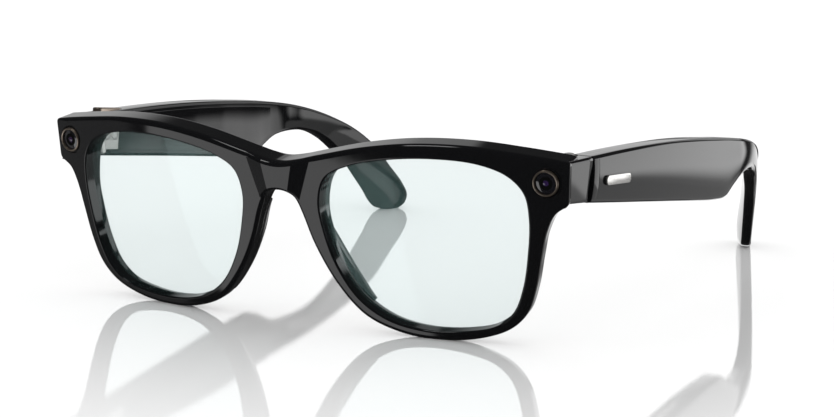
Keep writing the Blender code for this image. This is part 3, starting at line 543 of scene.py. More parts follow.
def cut(piece, shape, place=None):
    """Cuts the shape out of the piece."""
    cutter = make_piece("cutter", shape, None, None, 0, place)
    modifier = piece.modifiers.new("cut", "BOOLEAN")
    modifier.operation = "DIFFERENCE"
    modifier.solver = "EXACT"
    modifier.object = cutter
    bpy.context.view_layer.update()
    evaluated = piece.evaluated_get(bpy.context.evaluated_depsgraph_get())
    mesh = bpy.data.meshes.new_from_object(evaluated)
    piece.modifiers.remove(modifier)
    old = piece.data
    piece.data = mesh
    bpy.data.meshes.remove(old)
    bpy.data.objects.remove(cutter)
    mesh.set_sharp_from_angle(angle=math.radians(32))


def joint_place(side):
    """From the joint faces' frame, its Z leaning back, to the plate frame."""
    return Matrix.Translation((side * HINGE_X, HINGE_Y, HINGE_Z)) @ Matrix.Rotation(-JOINT_LEAN, 4, "X")


def pin_place(side):
    """From the hinge pin's frame to the plate frame."""
    turn = PIN_DIRECTION.to_track_quat("Z", "X").to_matrix().to_4x4()
    return Matrix.Translation((side * HINGE_X, HINGE_Y, HINGE_Z)) @ turn


def cut_hinge_room(piece, side, recesses):
    """Room for the hinge: round the pin, and boxes about it."""
    cut(piece, turned(RELIEF), pin_place(side))
    for low, high in recesses:
        cut(piece, mirrored(box_shape(low, high), side), joint_place(side))


# ---- front


def edge_radius(point):
    """The outline's front rounding tightens at the four outer corners."""
    corners = (TOP_EDGE[-1], LOWER_EDGE[0])
    nearest = min((Vector((abs(point.x), point.y)) - Vector(corner)).length for corner in corners)
    return CORNER_ROUND + (EDGE_ROUND - CORNER_ROUND) * smoothstep(nearest, *CORNER_REACH)


def edge_rings(loop, is_outer, steps=7):
    """Rings of (flat point, depth): over the front rounding, down the wall and over the rear rounding."""
    inward = -1 if is_outer else 1
    normals = crease_normals(loop, outline_normals(loop))
    radii = [edge_radius(p) if is_outer else OPENING_ROUND for p in loop]
    depths = [brow_depth(RIM_DEPTH if is_outer else OPENING_DEPTH, p.y) for p in loop]
    rows = list(zip(loop, normals, radii, depths))
    angles = [math.radians(90 * step / steps) for step in range(steps + 1)]

    def front_ring(inset_share, margin, sink_share):
        ring = []
        for p, n, r, _ in rows:
            flat = p + n * (inward * (r * inset_share + margin))
            rise = BRIDGE_RISE * bridge_panel(flat.x, flat.y)
            ring.append((flat, r * sink_share - rise * (1 - sink_share)))
        return ring

    def deep_ring(inset, depth_at):
        ring = []
        for p, n, r, depth in rows:
            at = depth_at(r, depth)
            ring.append((p + n * (inward * (inset + flare(n, at, is_outer))), at))
        return ring

    rings = [front_ring(1.0, SUPPORT, 0.0)]
    rings += [front_ring(1 - math.sin(a), 0.0, 1 - math.cos(a)) for a in angles]
    rings += [deep_ring(0.0, lambda r, depth: r + (depth - REAR_ROUND - r) * share) for share in WALL_ROWS]
    for a in reversed(angles):
        rise = REAR_ROUND * (1 - math.cos(a))
        rings.append(deep_ring(REAR_ROUND * (1 - math.sin(a)), lambda r, depth: depth - rise))
    rings.append(deep_ring(REAR_ROUND + SUPPORT, lambda r, depth: depth))
    return rings


def flare(normal, depth, is_outer):
    """How much an opening's wall is set back at a depth, where the wall faces up."""
    if is_outer:
        return 0.0
    share = min(max((depth - FLARE_START) / (OPENING_DEPTH - FLARE_START), 0.0), 1.0)
    return FLARE * max(-normal.y, 0.0) * share


def on_crease(outline, top, low):
    """Indices of the outline's points on a crease: the one at the top edge and the one at the arch."""
    along = low - top
    across = Vector((along.y, -along.x)).normalized()
    found = [i for i, p in enumerate(outline) if p.y > BRIDGE_END and abs((p - top).dot(across)) < 1e-3]
    return sorted(found, key=lambda i: -outline[i].y)


def crease_normals(outline, normals):
    """Lets the outline's points on the creases move along them, by the same margin as the rest."""
    leaning = list(normals)
    for top, low in crease_lines():
        along = (low - top).normalized()
        for i in on_crease(outline, top, low):
            leaning[i] = along * (normals[i].length_squared / along.dot(normals[i]))
    return leaning


def crease_paths(ring):
    """Rows of points along the bridge creases, between the face's top and bottom edges."""
    paths = []
    for top, low in crease_lines():
        ends = on_crease(ring, top, low)
        first, last = ring[ends[0]], ring[ends[-1]]
        between = [first.lerp(last, share) for share in np.linspace(0, 1, 12)[1:-1]]
        paths.append((ends[0], between, ends[-1]))
    return paths


def sharpen_creases(piece):
    """Marks the bridge creases sharp: edges of the face that run along one of the lines."""
    shares = np.linspace(-0.5, 1.5, 81)
    rows = np.array([[face_point(top.lerp(low, share)) for share in shares] for top, low in crease_lines()])
    near = []
    for vertex in piece.data.vertices:
        place = vertex.co / MM - PLATE_ZERO
        found = -1
        if abs(place.x) < CREASE_ZONE[0] and place.z > CREASE_ZONE[1]:
            gaps = np.linalg.norm(rows - np.array(place), axis=2).min(1)
            if gaps.min() < CREASE_WIDTH:
                found = int(gaps.argmin())
        near.append(found)
    for edge in piece.data.edges:
        a, b = edge.vertices
        if near[a] >= 0 and near[a] == near[b]:
            edge.use_edge_sharp = True


def plate_shape():
    """The whole front: face, rounded edges, walls and the rear that slopes from the openings outwards."""
    points = []
    faces = []

    def add(new_points, new_faces):
        first = len(points)
        points.extend(new_points)
        faces.extend(tuple(first + i for i in face) for face in new_faces)

    face_loops = []
    rear_loops = []
    for loop in (front_outline(), *(lens_outline(side) for side in SIDES.values())):
        rings = edge_rings(loop, not face_loops)
        add(*loft([[front_point(flat.x, flat.y, depth) for flat, depth in ring] for ring in rings], "open"))
        face_loops.append([flat for flat, _ in rings[0]])
        rear_loops.append([flat for flat, _ in rings[-1]])
    made, triangles = fill_region(face_loops, FACE_GRID, crease_paths(face_loops[0]))
    add([face_point(p) for p in made], triangles)
    made, triangles = fill_region(rear_loops, REAR_GRID)
    add(rear_points(made, rear_loops), triangles)
    return points, faces


def rear_points(flats, loops):
    """The rear face's points, deeper the nearer they are to a lens opening."""
    outline = np.array(loops[0])
    openings = np.array([p for loop in loops[1:] for p in loop])
    points = []
    for p in flats:
        far = np.min(np.hypot(outline[:, 0] - p.x, outline[:, 1] - p.y))
        near = np.min(np.hypot(openings[:, 0] - p.x, openings[:, 1] - p.y))
        share = smoothstep(far / (far + near + 1e-9), 0.0, 1.0)
        rim = RIM_DEPTH + (OPENING_DEPTH - RIM_DEPTH) * share
        points.append(front_point(p.x, p.y, brow_depth(rim, p.y)))
    return points


def end_block_shape(side):
    """The thick end piece, from just behind the front's edge rounding to the joint face."""
    in_front = [front_point(u, v, END_SINK) for u, v in END_AT_PLATE]
    at_joint = [joint_place(1) @ Vector((x, -END_GAP, z)) for x, z in END_AT_JOINT]
    sections = []
    for share in END_ROWS:
        quad = [a.lerp(b, share) for a, b in zip(in_front, at_joint)]
        tight = END_BREAK if share == 1.0 else 0.0
        ring = []
        for p in rounded_rectangle((tight, tight), (1 - tight, 1 - tight), END_ROUND, 6):
            bottom = quad[0].lerp(quad[1], p.x)
            ring.append(bottom.lerp(quad[3].lerp(quad[2], p.x), p.y))
        sections.append(ring)
    return mirrored(loft(sections), side)


def build_front(finishes):
    """The plate and its two end pieces, levelled where the rims stand on the floor."""
    black = finishes["gloss_black"]
    front = make_piece("front_body", plate_shape(), "front", black, 35)
    pieces = [front]
    for name, side in SIDES.items():
        block = make_piece(f"{name}_end_piece", end_block_shape(side), "front", black, 35)
        pieces.append(block)
        for piece in (block, front):
            cut_hinge_room(piece, side, [FRONT_RECESS])
    cut(front, box_shape((-90, -20, -FAR), (90, 160, FLOOR)))
    sharpen_creases(front)
    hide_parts("front_frame")
    for piece in pieces:
        keep_faces_flat(piece)


# ---- lenses and nose pads


def build_lens(name, side, finishes):
    """A lens between two rings of sections, each from near its middle out to the edge."""
    outline = lens_outline(side, 8, LENS_LIP)
    middle = sum(outline, Vector((0, 0))) / len(outline)
    shares = np.linspace(0.02, 1.0, 14)
    sections = []
    for depth, order in ((LENS_SETBACK, shares), (LENS_SETBACK + LENS_THICKNESS, shares[::-1])):
        for share in order:
            ring = [middle.lerp(p, share) for p in outline]
            sections.append([front_point(p.x, p.y, depth + turn_back(p.x)) for p in ring])
    lens = make_piece(f"{name}_clear_lens", loft(sections), "front", finishes["clear_lens"], 60)
    take_place(f"{name}_lens")


def build_nose_pad(name, side, finishes):
    """A pad that swells from the rim along the inner side of the lens opening."""
    low, high = PAD_RANGE
    path = [p for p in smooth_curve(LOWER_EDGE, 6) if low < p.y < high and p.x < PAD_REACH]
    start, span, power = PAD_SWELL
    sections = []
    for i, point in enumerate(path):
        share = i / (len(path) - 1)
        ahead = (path[min(i + 1, len(path) - 1)] - path[max(i - 1, 0)]).normalized()
        inward = Vector((ahead.y, -ahead.x))
        height = PAD_HEIGHT * math.sin(math.pi * (start + span * share)) ** power
        ring = []
        for p in rounded_rectangle((0.0, 0.0), (PAD_WIDTH, 1.0), PAD_ROUND, 5):
            place = point + inward * (p.x * (1 - PAD_TAPER * p.y) + PAD_LEAN * p.y * height)
            rim = brow_depth(PAD_RIM + turn_back(place.x), place.y)
            ring.append(front_point(side * place.x, place.y, rim - PAD_ROOT + (height + PAD_BASE) * p.y))
        sections.append(ring)
    pad = make_piece(f"{name}_pad", loft(sections), "front", finishes["gloss_black"], 50)
    take_place(f"{name}_nose_pad")


# ---- camera and light windows


def module_place(side):
    """From a window's frame, its Z out of the face, to the plate frame."""
    rise = (MODULE_V - CURVE_MIDDLE) / CURVE_UPRIGHT
    facing = Matrix.Rotation(FRONT_LEAN, 3, "X") @ Vector((side * math.tan(MODULE_TURN), -1.0, rise))
    turn = facing.to_track_quat("Z", "Y").to_matrix().to_4x4()
    return Matrix.Translation(front_point(side * MODULE_U, MODULE_V)) @ turn


def build_module(name, side, word, finishes):
    """The bronze ring in its seat, the cover glass and the stepped optics behind it."""
    place = module_place(side)
    for part, shape, slot, finish, smooth, node in (
        ("bezel", ring_solid(BEZEL), "bronze_metal", "bronze_metal", 40, "ring"),
        ("seat", ring_solid(SEAT), "gloss_black", "gloss_black", 40, None),
        ("cover_glass", turned(COVER_GLASS), "dark_glass", "dark_glass", 60, "window"),
        (f"{word}_ring", ring_solid(INNER_RING), "dark_plastic", "well", 40, None),
        (f"{word}_dome", turned(DOME), "dark_glass", word, 60, None),
    ):
        piece = make_piece(f"{name}_{part}", shape, "front", finishes[finish], smooth, place)
        if node:
            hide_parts(f"{name}_{node}")


# ---- temples


def outer_x(y):
    """How far out the temple's outer face lies, before its crown."""
    swell = TEMPLE_BOW * math.sin(math.pi * min(max((y - HINGE_Y) / (BEND_Y - HINGE_Y), 0), 1))
    splay = TEMPLE_SPLAY * max(y - HINGE_Y, 0)
    return TEMPLE_X + swell + splay - BEND_RATE * max(y - BEND_Y, 0) ** BEND_POWER


def temple_stations(steps):
    """Upper edge, lower edge and thickness at the given number of steps from each station to the next."""
    upper = smooth_curve([row[0] for row in TEMPLE_STATIONS], steps)
    lower = smooth_curve([row[1] for row in TEMPLE_STATIONS], steps)
    rows = range(len(TEMPLE_STATIONS))
    places = np.linspace(0, len(TEMPLE_STATIONS) - 1, len(upper))
    thickness = np.interp(places, rows, [row[2] for row in TEMPLE_STATIONS])
    return list(zip(upper, lower, thickness))


def station_at(y):
    """Upper edge, lower edge and thickness where the temple's middle line passes y."""
    stations = temple_stations(8)
    middles = [(upper.x + lower.x) / 2 for upper, lower, _ in stations]
    values = np.array([(*upper, *lower, thickness) for upper, lower, thickness in stations])
    found = [float(np.interp(y, middles, values[:, column])) for column in range(5)]
    return Vector(found[0:2]), Vector(found[2:4]), found[4]


def temple_ring(station, profile, trim=0.0):
    """The ring of (depth from the inner face, height) points that a profile gives across a station."""
    upper, lower, thickness = station
    centre = (upper + lower) / 2
    along = (upper - lower).normalized()
    ring = []
    for depth, height in profile(thickness, (upper - lower).length / 2 - trim):
        point = centre + along * height
        ring.append(Vector((outer_x(point.x) - thickness + depth, point.x, point.y)))
    return ring


def temple_shape(side):
    """The whole temple, its outer face crowned and its front edge broken at the joint."""
    sections = []
    for station in temple_stations(5):
        blade = 1 - smoothstep(station[0].x, *CHAMFER_FADE)
        sections.append(temple_ring(station, lambda thickness, half: temple_profile(thickness, half, blade)))
    sections.insert(0, shrink_ring(sections[0], FRONT_SHRINK))
    sections[1] = [p + Vector((0, FRONT_STEP, 0)) for p in sections[1]]
    sections.append(shrink_ring(sections[-1], TIP_SHRINK))
    return mirrored(loft(sections), side)


def temple_profile(thickness, half, blade):
    """Points round the temple: crowned outer face, chamfered top while blade is 1, soft inner corners."""
    chamfer = min(TOP_CHAMFER, CHAMFER_LIMIT * thickness) * blade
    soft = EDGE_SOFT + TIP_SOFT * (1 - blade) * min(thickness / 2 - TIP_FLAT, 1.0)
    bottom = min(BOTTOM_ROUND, ROUND_LIMIT * thickness)
    inner = min(INNER_ROUND, ROUND_LIMIT * thickness)
    points = arc((thickness - bottom, -half + bottom), bottom, -90, -5)
    for share in np.linspace(-0.75, 0.75, 9):
        points.append((thickness + OUTER_CROWN * (1 - share * share), share * (half - chamfer)))
    points += arc((thickness - soft, half - chamfer - soft * 0.4), soft, 5, 40, 3)
    points += arc((thickness - chamfer - soft * 0.3, half - soft), soft, 50, 90, 3)
    points += arc((inner, half - inner), inner, 90, 180)
    points += arc((inner, -half + inner), inner, 180, 270)
    return points


def arc(centre, radius, start, end, steps=5):
    angles = [math.radians(start + (end - start) * step / steps) for step in range(steps + 1)]
    return [(centre[0] + radius * math.cos(a), centre[1] + radius * math.sin(a)) for a in angles]


def shrink_ring(ring, share):
    middle = sum(ring, Vector((0, 0, 0))) / len(ring)
    return [middle.lerp(p, share) for p in ring]


def cover_shape(side):
    """A strip that follows the temple's inner face."""

    def profile(_, half):
        return rounded_rectangle((COVER_DEPTHS[0], -half), (COVER_DEPTHS[1], half), COVER_ROUND, 3)

    sections = [temple_ring(station_at(y), profile, COVER_INSET) for y in np.linspace(*COVER_RANGE, 60)]
    return mirrored(loft(sections), side)


def temple_place(y, depth, rise):
    """A frame in the temple: X outwards from the inner face, Y along it, Z up."""
    before, after = station_at(y - 5), station_at(y + 5)
    slope = (after[0] + after[1] - before[0] - before[1]) / 2
    upper, lower, thickness = station_at(y)
    centre = (upper + lower) / 2
    turn = Matrix.Rotation(math.atan2(slope.y, slope.x), 4, "X")
    return Matrix.Translation((outer_x(y) - thickness + depth, centre.x, centre.y + rise)) @ turn


def temple_box(side, place, size):
    """A box centred at a place along the temple, its depth from the inner face and its rise."""
    half = Vector(size) / 2
    return mirrored(placed(box_shape(-half, half), temple_place(*place)), side)


def badge_shape(side):
    """A flat bar with round ends, its outer edge softened."""
    thickness, length, height = BADGE_SIZE
    slight = BADGE_EDGE * 0.3
    sections = []
    for inset, x in (
        (BADGE_EDGE, -thickness / 2),
        (0, BADGE_EDGE - thickness / 2),
        (0, thickness / 2 - BADGE_EDGE),
        (slight, thickness / 2 - slight),
        (BADGE_EDGE, thickness / 2),
    ):
        high = Vector((length / 2 - inset, height / 2 - inset))
        ring = rounded_rectangle(-high, high, max(BADGE_ROUND - inset, 0.05), 8)
        sections.append([Vector((x, p.x, p.y)) for p in ring])
    proud = station_at(BADGE_Y)[2] + OUTER_CROWN + BADGE_PROUD
    return mirrored(placed(loft(sections), temple_place(BADGE_Y, proud, BADGE_RISE)), side)


def pocket_shape():
    """The capture button's pocket in the right temple's top."""
    low, high = BUTTON_LOW - BUTTON_GAP, BUTTON_HIGH + BUTTON_GAP
    outline = rounded_rectangle(low, high, BUTTON_ROUND + BUTTON_GAP.x, 8)
    return mirrored(loft([[Vector((*p, z)) for p in outline] for z in (POCKET_FLOOR, FAR)]), -1)


def build_temple(name, side, finishes):
    """One temple: its body and inner cover with their openings, the speaker inside and the badge."""
    body = f"{name}_temple"
    black = finishes["gloss_black"]
    shell = make_piece(f"{name}_temple_body", temple_shape(side), body, black, 40)
    cut_hinge_room(shell, side, TEMPLE_RECESSES)
    cover = make_piece(f"{name}_inner_cover", cover_shape(side), body, black, 40)
    for opening in (SPEAKER_VENT, MICROPHONE_PORT):
        cut(shell, temple_box(side, *opening))
    if side > 0:
        for piece in (shell, cover):
            cut(piece, temple_box(side, *SLIDER_SLOT))
    else:
        cut(shell, pocket_shape(), joint_place(side))
    take_place(f"{name}_temple_shell")
    take_place(f"{name}_temple_cover")
    speaker = temple_box(side, *SPEAKER)
    speaker = make_piece(f"{name}_speaker_capsule", speaker, body, finishes["dark_plastic"], 30)
    take_place(f"{name}_speaker")
    badge = make_piece(f"{name}_badge", badge_shape(side), body, finishes["bright_steel"], 40)
    take_place(f"{name}_temple_badge")


def build_button(finishes):
    """The capture button: a crowned bar in a slim pocket on top of the right temple."""
    sections = []
    for inset, z in BUTTON_CROWN:
        margin = Vector((inset, inset))
        ring = rounded_rectangle(BUTTON_LOW + margin, BUTTON_HIGH - margin, BUTTON_ROUND - inset * 0.9, 6)
        sections.append([Vector((p.x, p.y, z)) for p in ring])
    shape = mirrored(loft(sections), -1)
    button = make_piece("capture_bar", shape, "capture_button", finishes["bronze_metal"], 50, joint_place(-1))
    take_place("right_capture_button")


# ---- shader nodes


def new_material(name):
    made = bpy.data.materials.new(name)
    made.use_nodes = True
    return made, made.node_tree.nodes


def fill_inputs(node, inputs):
    """Sets each input to its value, or links it from its socket."""
    for key, value in inputs.items():
        if isinstance(value, bpy.types.NodeSocket):
            node.id_data.links.new(value, node.inputs[key])
        else:
            node.inputs[key].default_value = value


def add_node(nodes, kind, inputs, **settings):
    made = nodes.new(kind)
    for name, value in settings.items():
        setattr(made, name, value)
    fill_inputs(made, inputs)
    return made


def object_coordinates(nodes):
    return nodes.new("ShaderNodeTexCoord").outputs["Object"]


def noise(nodes, scale, detail, vector=None):
    """Noise over the object's own coordinates; scale is features per metre."""
    inputs = {"Vector": vector or object_coordinates(nodes), "Scale": scale, "Detail": detail}
    return add_node(nodes, "ShaderNodeTexNoise", inputs).outputs["Fac"]


def map_range(nodes, source, ends, start=(0.0, 1.0), kind="LINEAR"):
    """Carries the start range to the ends, held at both."""
    names = ("Value", "From Min", "From Max", "To Min", "To Max")
    inputs = dict(zip(names, (source, *start, *ends)))
    return add_node(nodes, "ShaderNodeMapRange", inputs, interpolation_type=kind).outputs["Result"]


def smooth_share(nodes, source, low, high):
    """0 below low and 1 above high, with a smooth step between."""
    return map_range(nodes, source, (0.0, 1.0), (low, high), "SMOOTHSTEP")


def bump(nodes, height, distance_mm, strength=1.0):
    inputs = {"Height": height, "Distance": distance_mm * MM, "Strength": strength}
    return add_node(nodes, "ShaderNodeBump", inputs).outputs["Normal"]


def calculate(nodes, operation, first, second):
    return add_node(nodes, "ShaderNodeMath", {0: first, 1: second}, operation=operation).outputs["Value"]


def mix_colours(nodes, share, first, second):
    inputs = {"Factor": share, "A": (*first, 1), "B": (*second, 1)}
    return add_node(nodes, "ShaderNodeMix", inputs, data_type="RGBA").outputs["Result"]


def mix_shaders(nodes, share, first, second):
    return add_node(nodes, "ShaderNodeMixShader", {"Fac": share, 1: first, 2: second}).outputs["Shader"]


def plain_shader(nodes, kind, colour, roughness=None):
    inputs = {"Color": (*colour, 1)}
    if roughness is not None:
        inputs["Roughness"] = roughness
    return add_node(nodes, f"ShaderNodeBsdf{kind}", inputs)


def show(nodes, shader):
    """Sends the shader to the material's surface, in place of the default one."""
    nodes.remove(nodes["Principled BSDF"])
    fill_inputs(nodes["Material Output"], {"Surface": shader})


# ---- materials


def plastic(name, colour, rough, grain, bump_mm, coat=0.0, ior=1.5):
    """Moulded plastic, its gloss a little uneven over the rough range."""
    made, nodes = new_material(name)
    fill_inputs(nodes["Principled BSDF"], {
        "Base Color": (*colour, 1),
        "IOR": ior,
        "Coat Weight": coat,
        "Coat Roughness": 0.03,
        "Roughness": map_range(nodes, noise(nodes, 60, 4), rough),
        "Normal": bump(nodes, noise(nodes, grain, 2), bump_mm),
    })
    return made


def metal(name, colour, rough, stretch=(1, 1, 1), grain=9000, bump_mm=0.004):
    """Metal with fine directional marks."""
    made, nodes = new_material(name)
    mapping = add_node(nodes, "ShaderNodeMapping", {"Vector": object_coordinates(nodes), "Scale": stretch})
    marks = noise(nodes, grain, 3, mapping.outputs["Vector"])
    fill_inputs(nodes["Principled BSDF"], {
        "Metallic": 1.0,
        "Base Color": mix_colours(nodes, marks, [c * 0.85 for c in colour], colour),
        "Roughness": map_range(nodes, marks, rough),
        "Normal": bump(nodes, marks, bump_mm, 0.5),
    })
    return made


def lens_material():
    """Clear lens: lets light through with a cyan cast, and mirrors a little more towards its edge."""
    made, nodes = new_material("clear_lens")
    clear = plain_shader(nodes, "Transparent", (0.92, 0.945, 0.945))
    veil = plain_shader(nodes, "Diffuse", (0.5, 0.9, 0.85))
    mirror = plain_shader(
        nodes, "Glossy", (0.72, 0.97, 0.94), map_range(nodes, noise(nodes, 40, 3), (0.03, 0.06))
    )
    facing = add_node(nodes, "ShaderNodeFresnel", {"IOR": 1.33}).outputs["Fac"]
    from_behind = nodes.new("ShaderNodeNewGeometry").outputs["Backfacing"]
    from_front = calculate(nodes, "SUBTRACT", 1.0, from_behind)
    veiled = mix_shaders(nodes, 0.028, clear.outputs["BSDF"], veil.outputs["BSDF"])
    mirror_share = calculate(nodes, "MULTIPLY", facing, from_front)
    show(nodes, mix_shaders(nodes, mirror_share, veiled, mirror.outputs["BSDF"]))
    return made


def glass_element(name, deep, painted_glint):
    """A coated optic: near black, with a painted glint: a coloured sheen painted into its base colour where it
    faces the viewer, shifting across it.
    """
    made, nodes = new_material(name)
    facing = add_node(nodes, "ShaderNodeLayerWeight", {"Blend": 0.45}).outputs["Facing"]
    shift = map_range(nodes, noise(nodes, 900, 1), (-0.3, 0.5))
    fill_inputs(nodes["Principled BSDF"], {
        "Roughness": 0.04,
        "Coat Weight": 1.0,
        "Coat Roughness": 0.02,
        # painted glint: the base colour is the glint colour where the optic faces the viewer and the deep colour
        # towards its grazing edge
        "Base Color": mix_colours(nodes, calculate(nodes, "ADD", facing, shift), painted_glint, deep),
    })
    return made


def make_finishes():
    """Materials by the record's slots, and three more for the camera's and the light's insides."""
    return {
        "gloss_black": plastic("gloss_black", (0.0035, 0.0036, 0.0042), (0.04, 0.07), 700, 0.0003),
        "clear_lens": lens_material(),
        "bronze_metal": metal("bronze_metal", (0.42, 0.35, 0.29), (0.24, 0.36)),
        "bright_steel": metal("bright_steel", (0.66, 0.65, 0.63), (0.2, 0.32), (1, 1, 12)),
        "gold_contact": metal("gold_contact", (0.83, 0.62, 0.27), (0.2, 0.3)),
        "dark_glass": plastic("dark_glass", (0.004, 0.004, 0.006), (0.02, 0.04), 200, 0.0002, coat=1.0),
        "dark_plastic": plastic("dark_plastic", (0.02, 0.02, 0.02), (0.35, 0.5), 4000, 0.004),
        "circuit_board": plastic("circuit_board", (0.015, 0.07, 0.04), (0.3, 0.5), 2500, 0.01),
        "flex_film": plastic("flex_film", (0.5, 0.26, 0.06), (0.25, 0.4), 1500, 0.003),
        "battery_foil": metal("battery_foil", (0.55, 0.55, 0.57), (0.3, 0.45), grain=1500, bump_mm=0.02),
        "well": plastic("well_black", (0.003, 0.003, 0.003), (0.45, 0.6), 3000, 0.002, ior=1.15),
        # the second colour of each optic is its painted glint, a reflection painted into the base colour
        "optics": glass_element("camera_optics_painted_glint", (0.002, 0.003, 0.006), (0.02, 0.008, 0.05)),
        "emitter": glass_element("emitter_lens_painted_glint", (0.002, 0.003, 0.004), (0.03, 0.01, 0.05)),
    }


def finish_cad_nodes(finishes):
    """Materials for the CAD nodes, by the record's slots."""
    for entry in frame["record"]["subparts"]:
        node = frame["nodes"][entry["node"]]
        if not node.material_slots:
            node.data.materials.append(None)
        for slot in node.material_slots:
            slot.link = "OBJECT"
            slot.material = finishes[entry["material_slot"]]
        node.data.shade_smooth()
        node.data.set_sharp_from_angle(angle=math.radians(30))


# ---- studio


def flat_sheet(name, half_x, half_y):
    """A rectangle in its own XY plane, sized in metres."""
    mesh = bpy.data.meshes.new(name)
    corners = [(-half_x, -half_y, 0), (half_x, -half_y, 0), (half_x, half_y, 0), (-half_x, half_y, 0)]
    mesh.from_pydata(corners, [], [(0, 1, 2, 3)])
    return new_object(name, mesh)


def card(name, place, x_range, other_range, strength, soft, radius, overhead=False):
    """A lit card seen only in reflections, its light fading over the soft margin.

    It stands square to Y at the given place, with other_range its heights; an overhead one lies flat."""
    half = Vector((x_range[1] - x_range[0], other_range[1] - other_range[0])) / 2
    made = flat_sheet(name, half.x * MM, half.y * MM)
    across, along = sum(x_range) / 2, sum(other_range) / 2
    middle = Vector((across, along, place)) if overhead else Vector((across, place, along))
    made.location = (middle + PLATE_ZERO) * MM
    if not overhead:
        made.rotation_euler.x = math.radians(90)
    made.data.materials.append(card_light(name, half, strength, soft, radius))
    for flag in ("visible_camera", "visible_shadow", "visible_diffuse", "visible_transmission"):
        setattr(made, flag, False)


def card_light(name, half, strength, soft, radius):
    """Emission over a rounded rectangle: full inside, fading out within the soft margin."""
    made, nodes = new_material(name)
    reach = radius + soft
    last = object_coordinates(nodes)
    for operation, inputs in (
        ("ABSOLUTE", {}),
        ("SUBTRACT", {1: ((half.x - reach) * MM, (half.y - reach) * MM, 0)}),
        ("MAXIMUM", {1: (0, 0, 0)}),
    ):
        step = add_node(nodes, "ShaderNodeVectorMath", {0: last, **inputs}, operation=operation)
        last = step.outputs["Vector"]
    out = add_node(nodes, "ShaderNodeVectorMath", {0: last}, operation="LENGTH").outputs["Value"]
    fade = smooth_share(nodes, out, reach * MM, radius * MM)
    lit = calculate(nodes, "MULTIPLY", fade, away_from_floor(nodes))
    glow = add_node(nodes, "ShaderNodeEmission", {"Strength": strength}).outputs["Emission"]
    clear = nodes.new("ShaderNodeBsdfTransparent").outputs["BSDF"]
    show(nodes, mix_shaders(nodes, lit, clear, glow))
    return made


def away_from_floor(nodes):
    """1 for every ray but those of the floor's perfect mirror, which show no cards and no dim room."""
    path = nodes.new("ShaderNodeLightPath")
    return calculate(nodes, "SUBTRACT", 1.0, path.outputs["Is Singular Ray"])


def build_cards():
    """Radiances are for reflections in the gloss black, which mirrors about a twentieth of what it faces."""
    card("brow_card", -400, (-560, -90), (-360, -88), 1.55, 14, 24)
    card("left_fill_card", -400, (-1500, -580), (-700, 120), 0.25, 60, 60)
    card("end_piece_card", 250, (236, 560), (-36, 90), 2.2, 3, 10)
    card("end_piece_low_card", 255, (236, 560), (-200, -8), 0.85, 8, 10)
    card("temple_card", 250, (92, 238), (-14, 130), 2.0, 20, 15)
    card("temple_low_card", 256, (90, 260), (-200, -6), 0.5, 8, 10)
    card("tip_card", 250, (640, 1700), (-420, 60), 1.1, 60, 40)
    card("inner_temple_card", 250, (-60, 88), (-90, 34), 1.2, 24, 10)
    card("temple_edge_card", 252, (-60, 90), (56, 190), 0.8, 12, 15)
    card("right_brow_card", 250, (-190, -70), (160, 215), 0.55, 16, 10)
    card("ceiling_card", 450, (-190, -60), (-230, -60), 4.0, 20, 10, overhead=True)


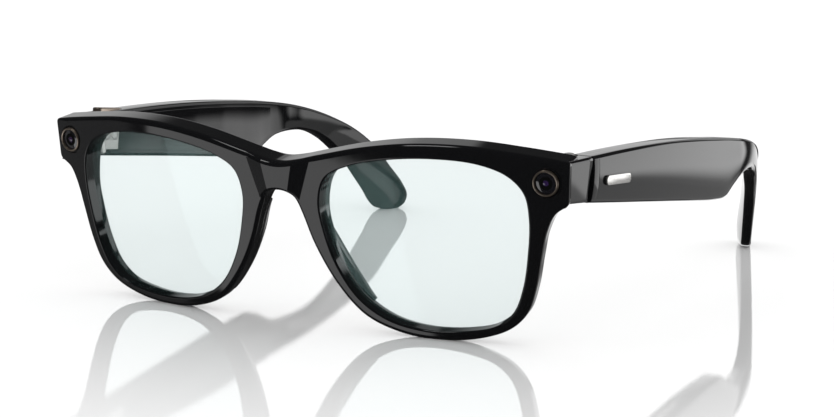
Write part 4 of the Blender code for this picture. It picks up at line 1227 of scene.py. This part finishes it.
def build_world():
    """White to the camera and the floor's diffuse light; dim in mirrors but for a pale band low behind."""
    world = bpy.data.worlds.new("studio")
    world.use_nodes = True
    bpy.context.scene.world = world
    nodes = world.node_tree.nodes
    white = nodes["Background"]
    fill_inputs(white, {"Color": (1, 1, 1, 1), "Strength": WHITE_LIGHT})
    way = nodes.new("ShaderNodeTexCoord").outputs["Generated"]
    axis = (-math.sin(BAND_AZIMUTH), math.cos(BAND_AZIMUTH), 0)
    facing = add_node(nodes, "ShaderNodeVectorMath", {0: way, 1: axis}, operation="DOT_PRODUCT")
    height = add_node(nodes, "ShaderNodeSeparateXYZ", {"Vector": way}).outputs["Z"]
    across, upper, lower = [math.radians(angle) for angle in (30, 34, -3)]
    full_across, full_upper, full_lower = [math.radians(angle) for angle in (18, 21, 1)]
    band = smooth_share(nodes, facing.outputs["Value"], math.cos(across), math.cos(full_across))
    for edge, full in ((upper, full_upper), (lower, full_lower)):
        band = calculate(nodes, "MULTIPLY", band, smooth_share(nodes, height, math.sin(edge), math.sin(full)))
    room = add_node(nodes, "ShaderNodeBackground", {"Strength": map_range(nodes, band, ROOM_LIGHT)})
    glossy = nodes.new("ShaderNodeLightPath").outputs["Is Glossy Ray"]
    share = calculate(nodes, "MULTIPLY", glossy, away_from_floor(nodes))
    mixed = mix_shaders(nodes, share, white.outputs["Background"], room.outputs["Background"])
    fill_inputs(nodes["World Output"], {"Surface": mixed})


def build_floor():
    """A pale floor with a mirror that fades towards the viewer."""
    floor = flat_sheet("floor", FLOOR_REACH, FLOOR_REACH)
    made, nodes = new_material("pale_floor")
    lit = plain_shader(nodes, "Diffuse", (0.99, 0.99, 0.99))
    mirror = plain_shader(nodes, "Glossy", (1, 1, 1), 0.0)
    fill_inputs(mirror, {"Normal": bump(nodes, noise(nodes, 2500, 1), 0.003)})
    parts = add_node(nodes, "ShaderNodeSeparateXYZ", {"Vector": object_coordinates(nodes)})
    fade = map_range(nodes, parts.outputs["Y"], (0.0, MIRROR_SHARE), MIRROR_FADE, "SMOOTHSTEP")
    show(nodes, mix_shaders(nodes, fade, lit.outputs["BSDF"], mirror.outputs["BSDF"]))
    floor.data.materials.append(made)
    floor.visible_glossy = False


def build_camera():
    """A long lens from the wearer's front left, a little above."""
    level = math.cos(ELEVATION)
    back = Vector((math.sin(AZIMUTH) * level, -math.cos(AZIMUTH) * level, math.sin(ELEVATION)))
    data = bpy.data.cameras.new("camera")
    data.sensor_width = SENSOR_MM
    data.lens = LENS_MM
    data.shift_x, data.shift_y = VIEW_SHIFT
    camera = new_object("camera", data)
    camera.location = (VIEW_TARGET + PLATE_ZERO + back * VIEW_DISTANCE) * MM
    camera.rotation_mode = "QUATERNION"
    camera.rotation_quaternion = (-back).to_track_quat("-Z", "Y")
    bpy.context.scene.camera = camera


def build_studio():
    bpy.context.scene.view_settings.view_transform = "Standard"
    build_world()
    build_floor()
    build_cards()
    build_camera()


# ---- assembly


def build_glasses():
    finishes = make_finishes()
    finish_cad_nodes(finishes)
    build_front(finishes)
    for name, side in SIDES.items():
        build_lens(name, side, finishes)
        build_nose_pad(name, side, finishes)
        build_temple(name, side, finishes)
    build_module("camera", 1, "optics", finishes)
    build_module("light", -1, "emitter", finishes)
    build_button(finishes)


build_glasses()
build_studio()
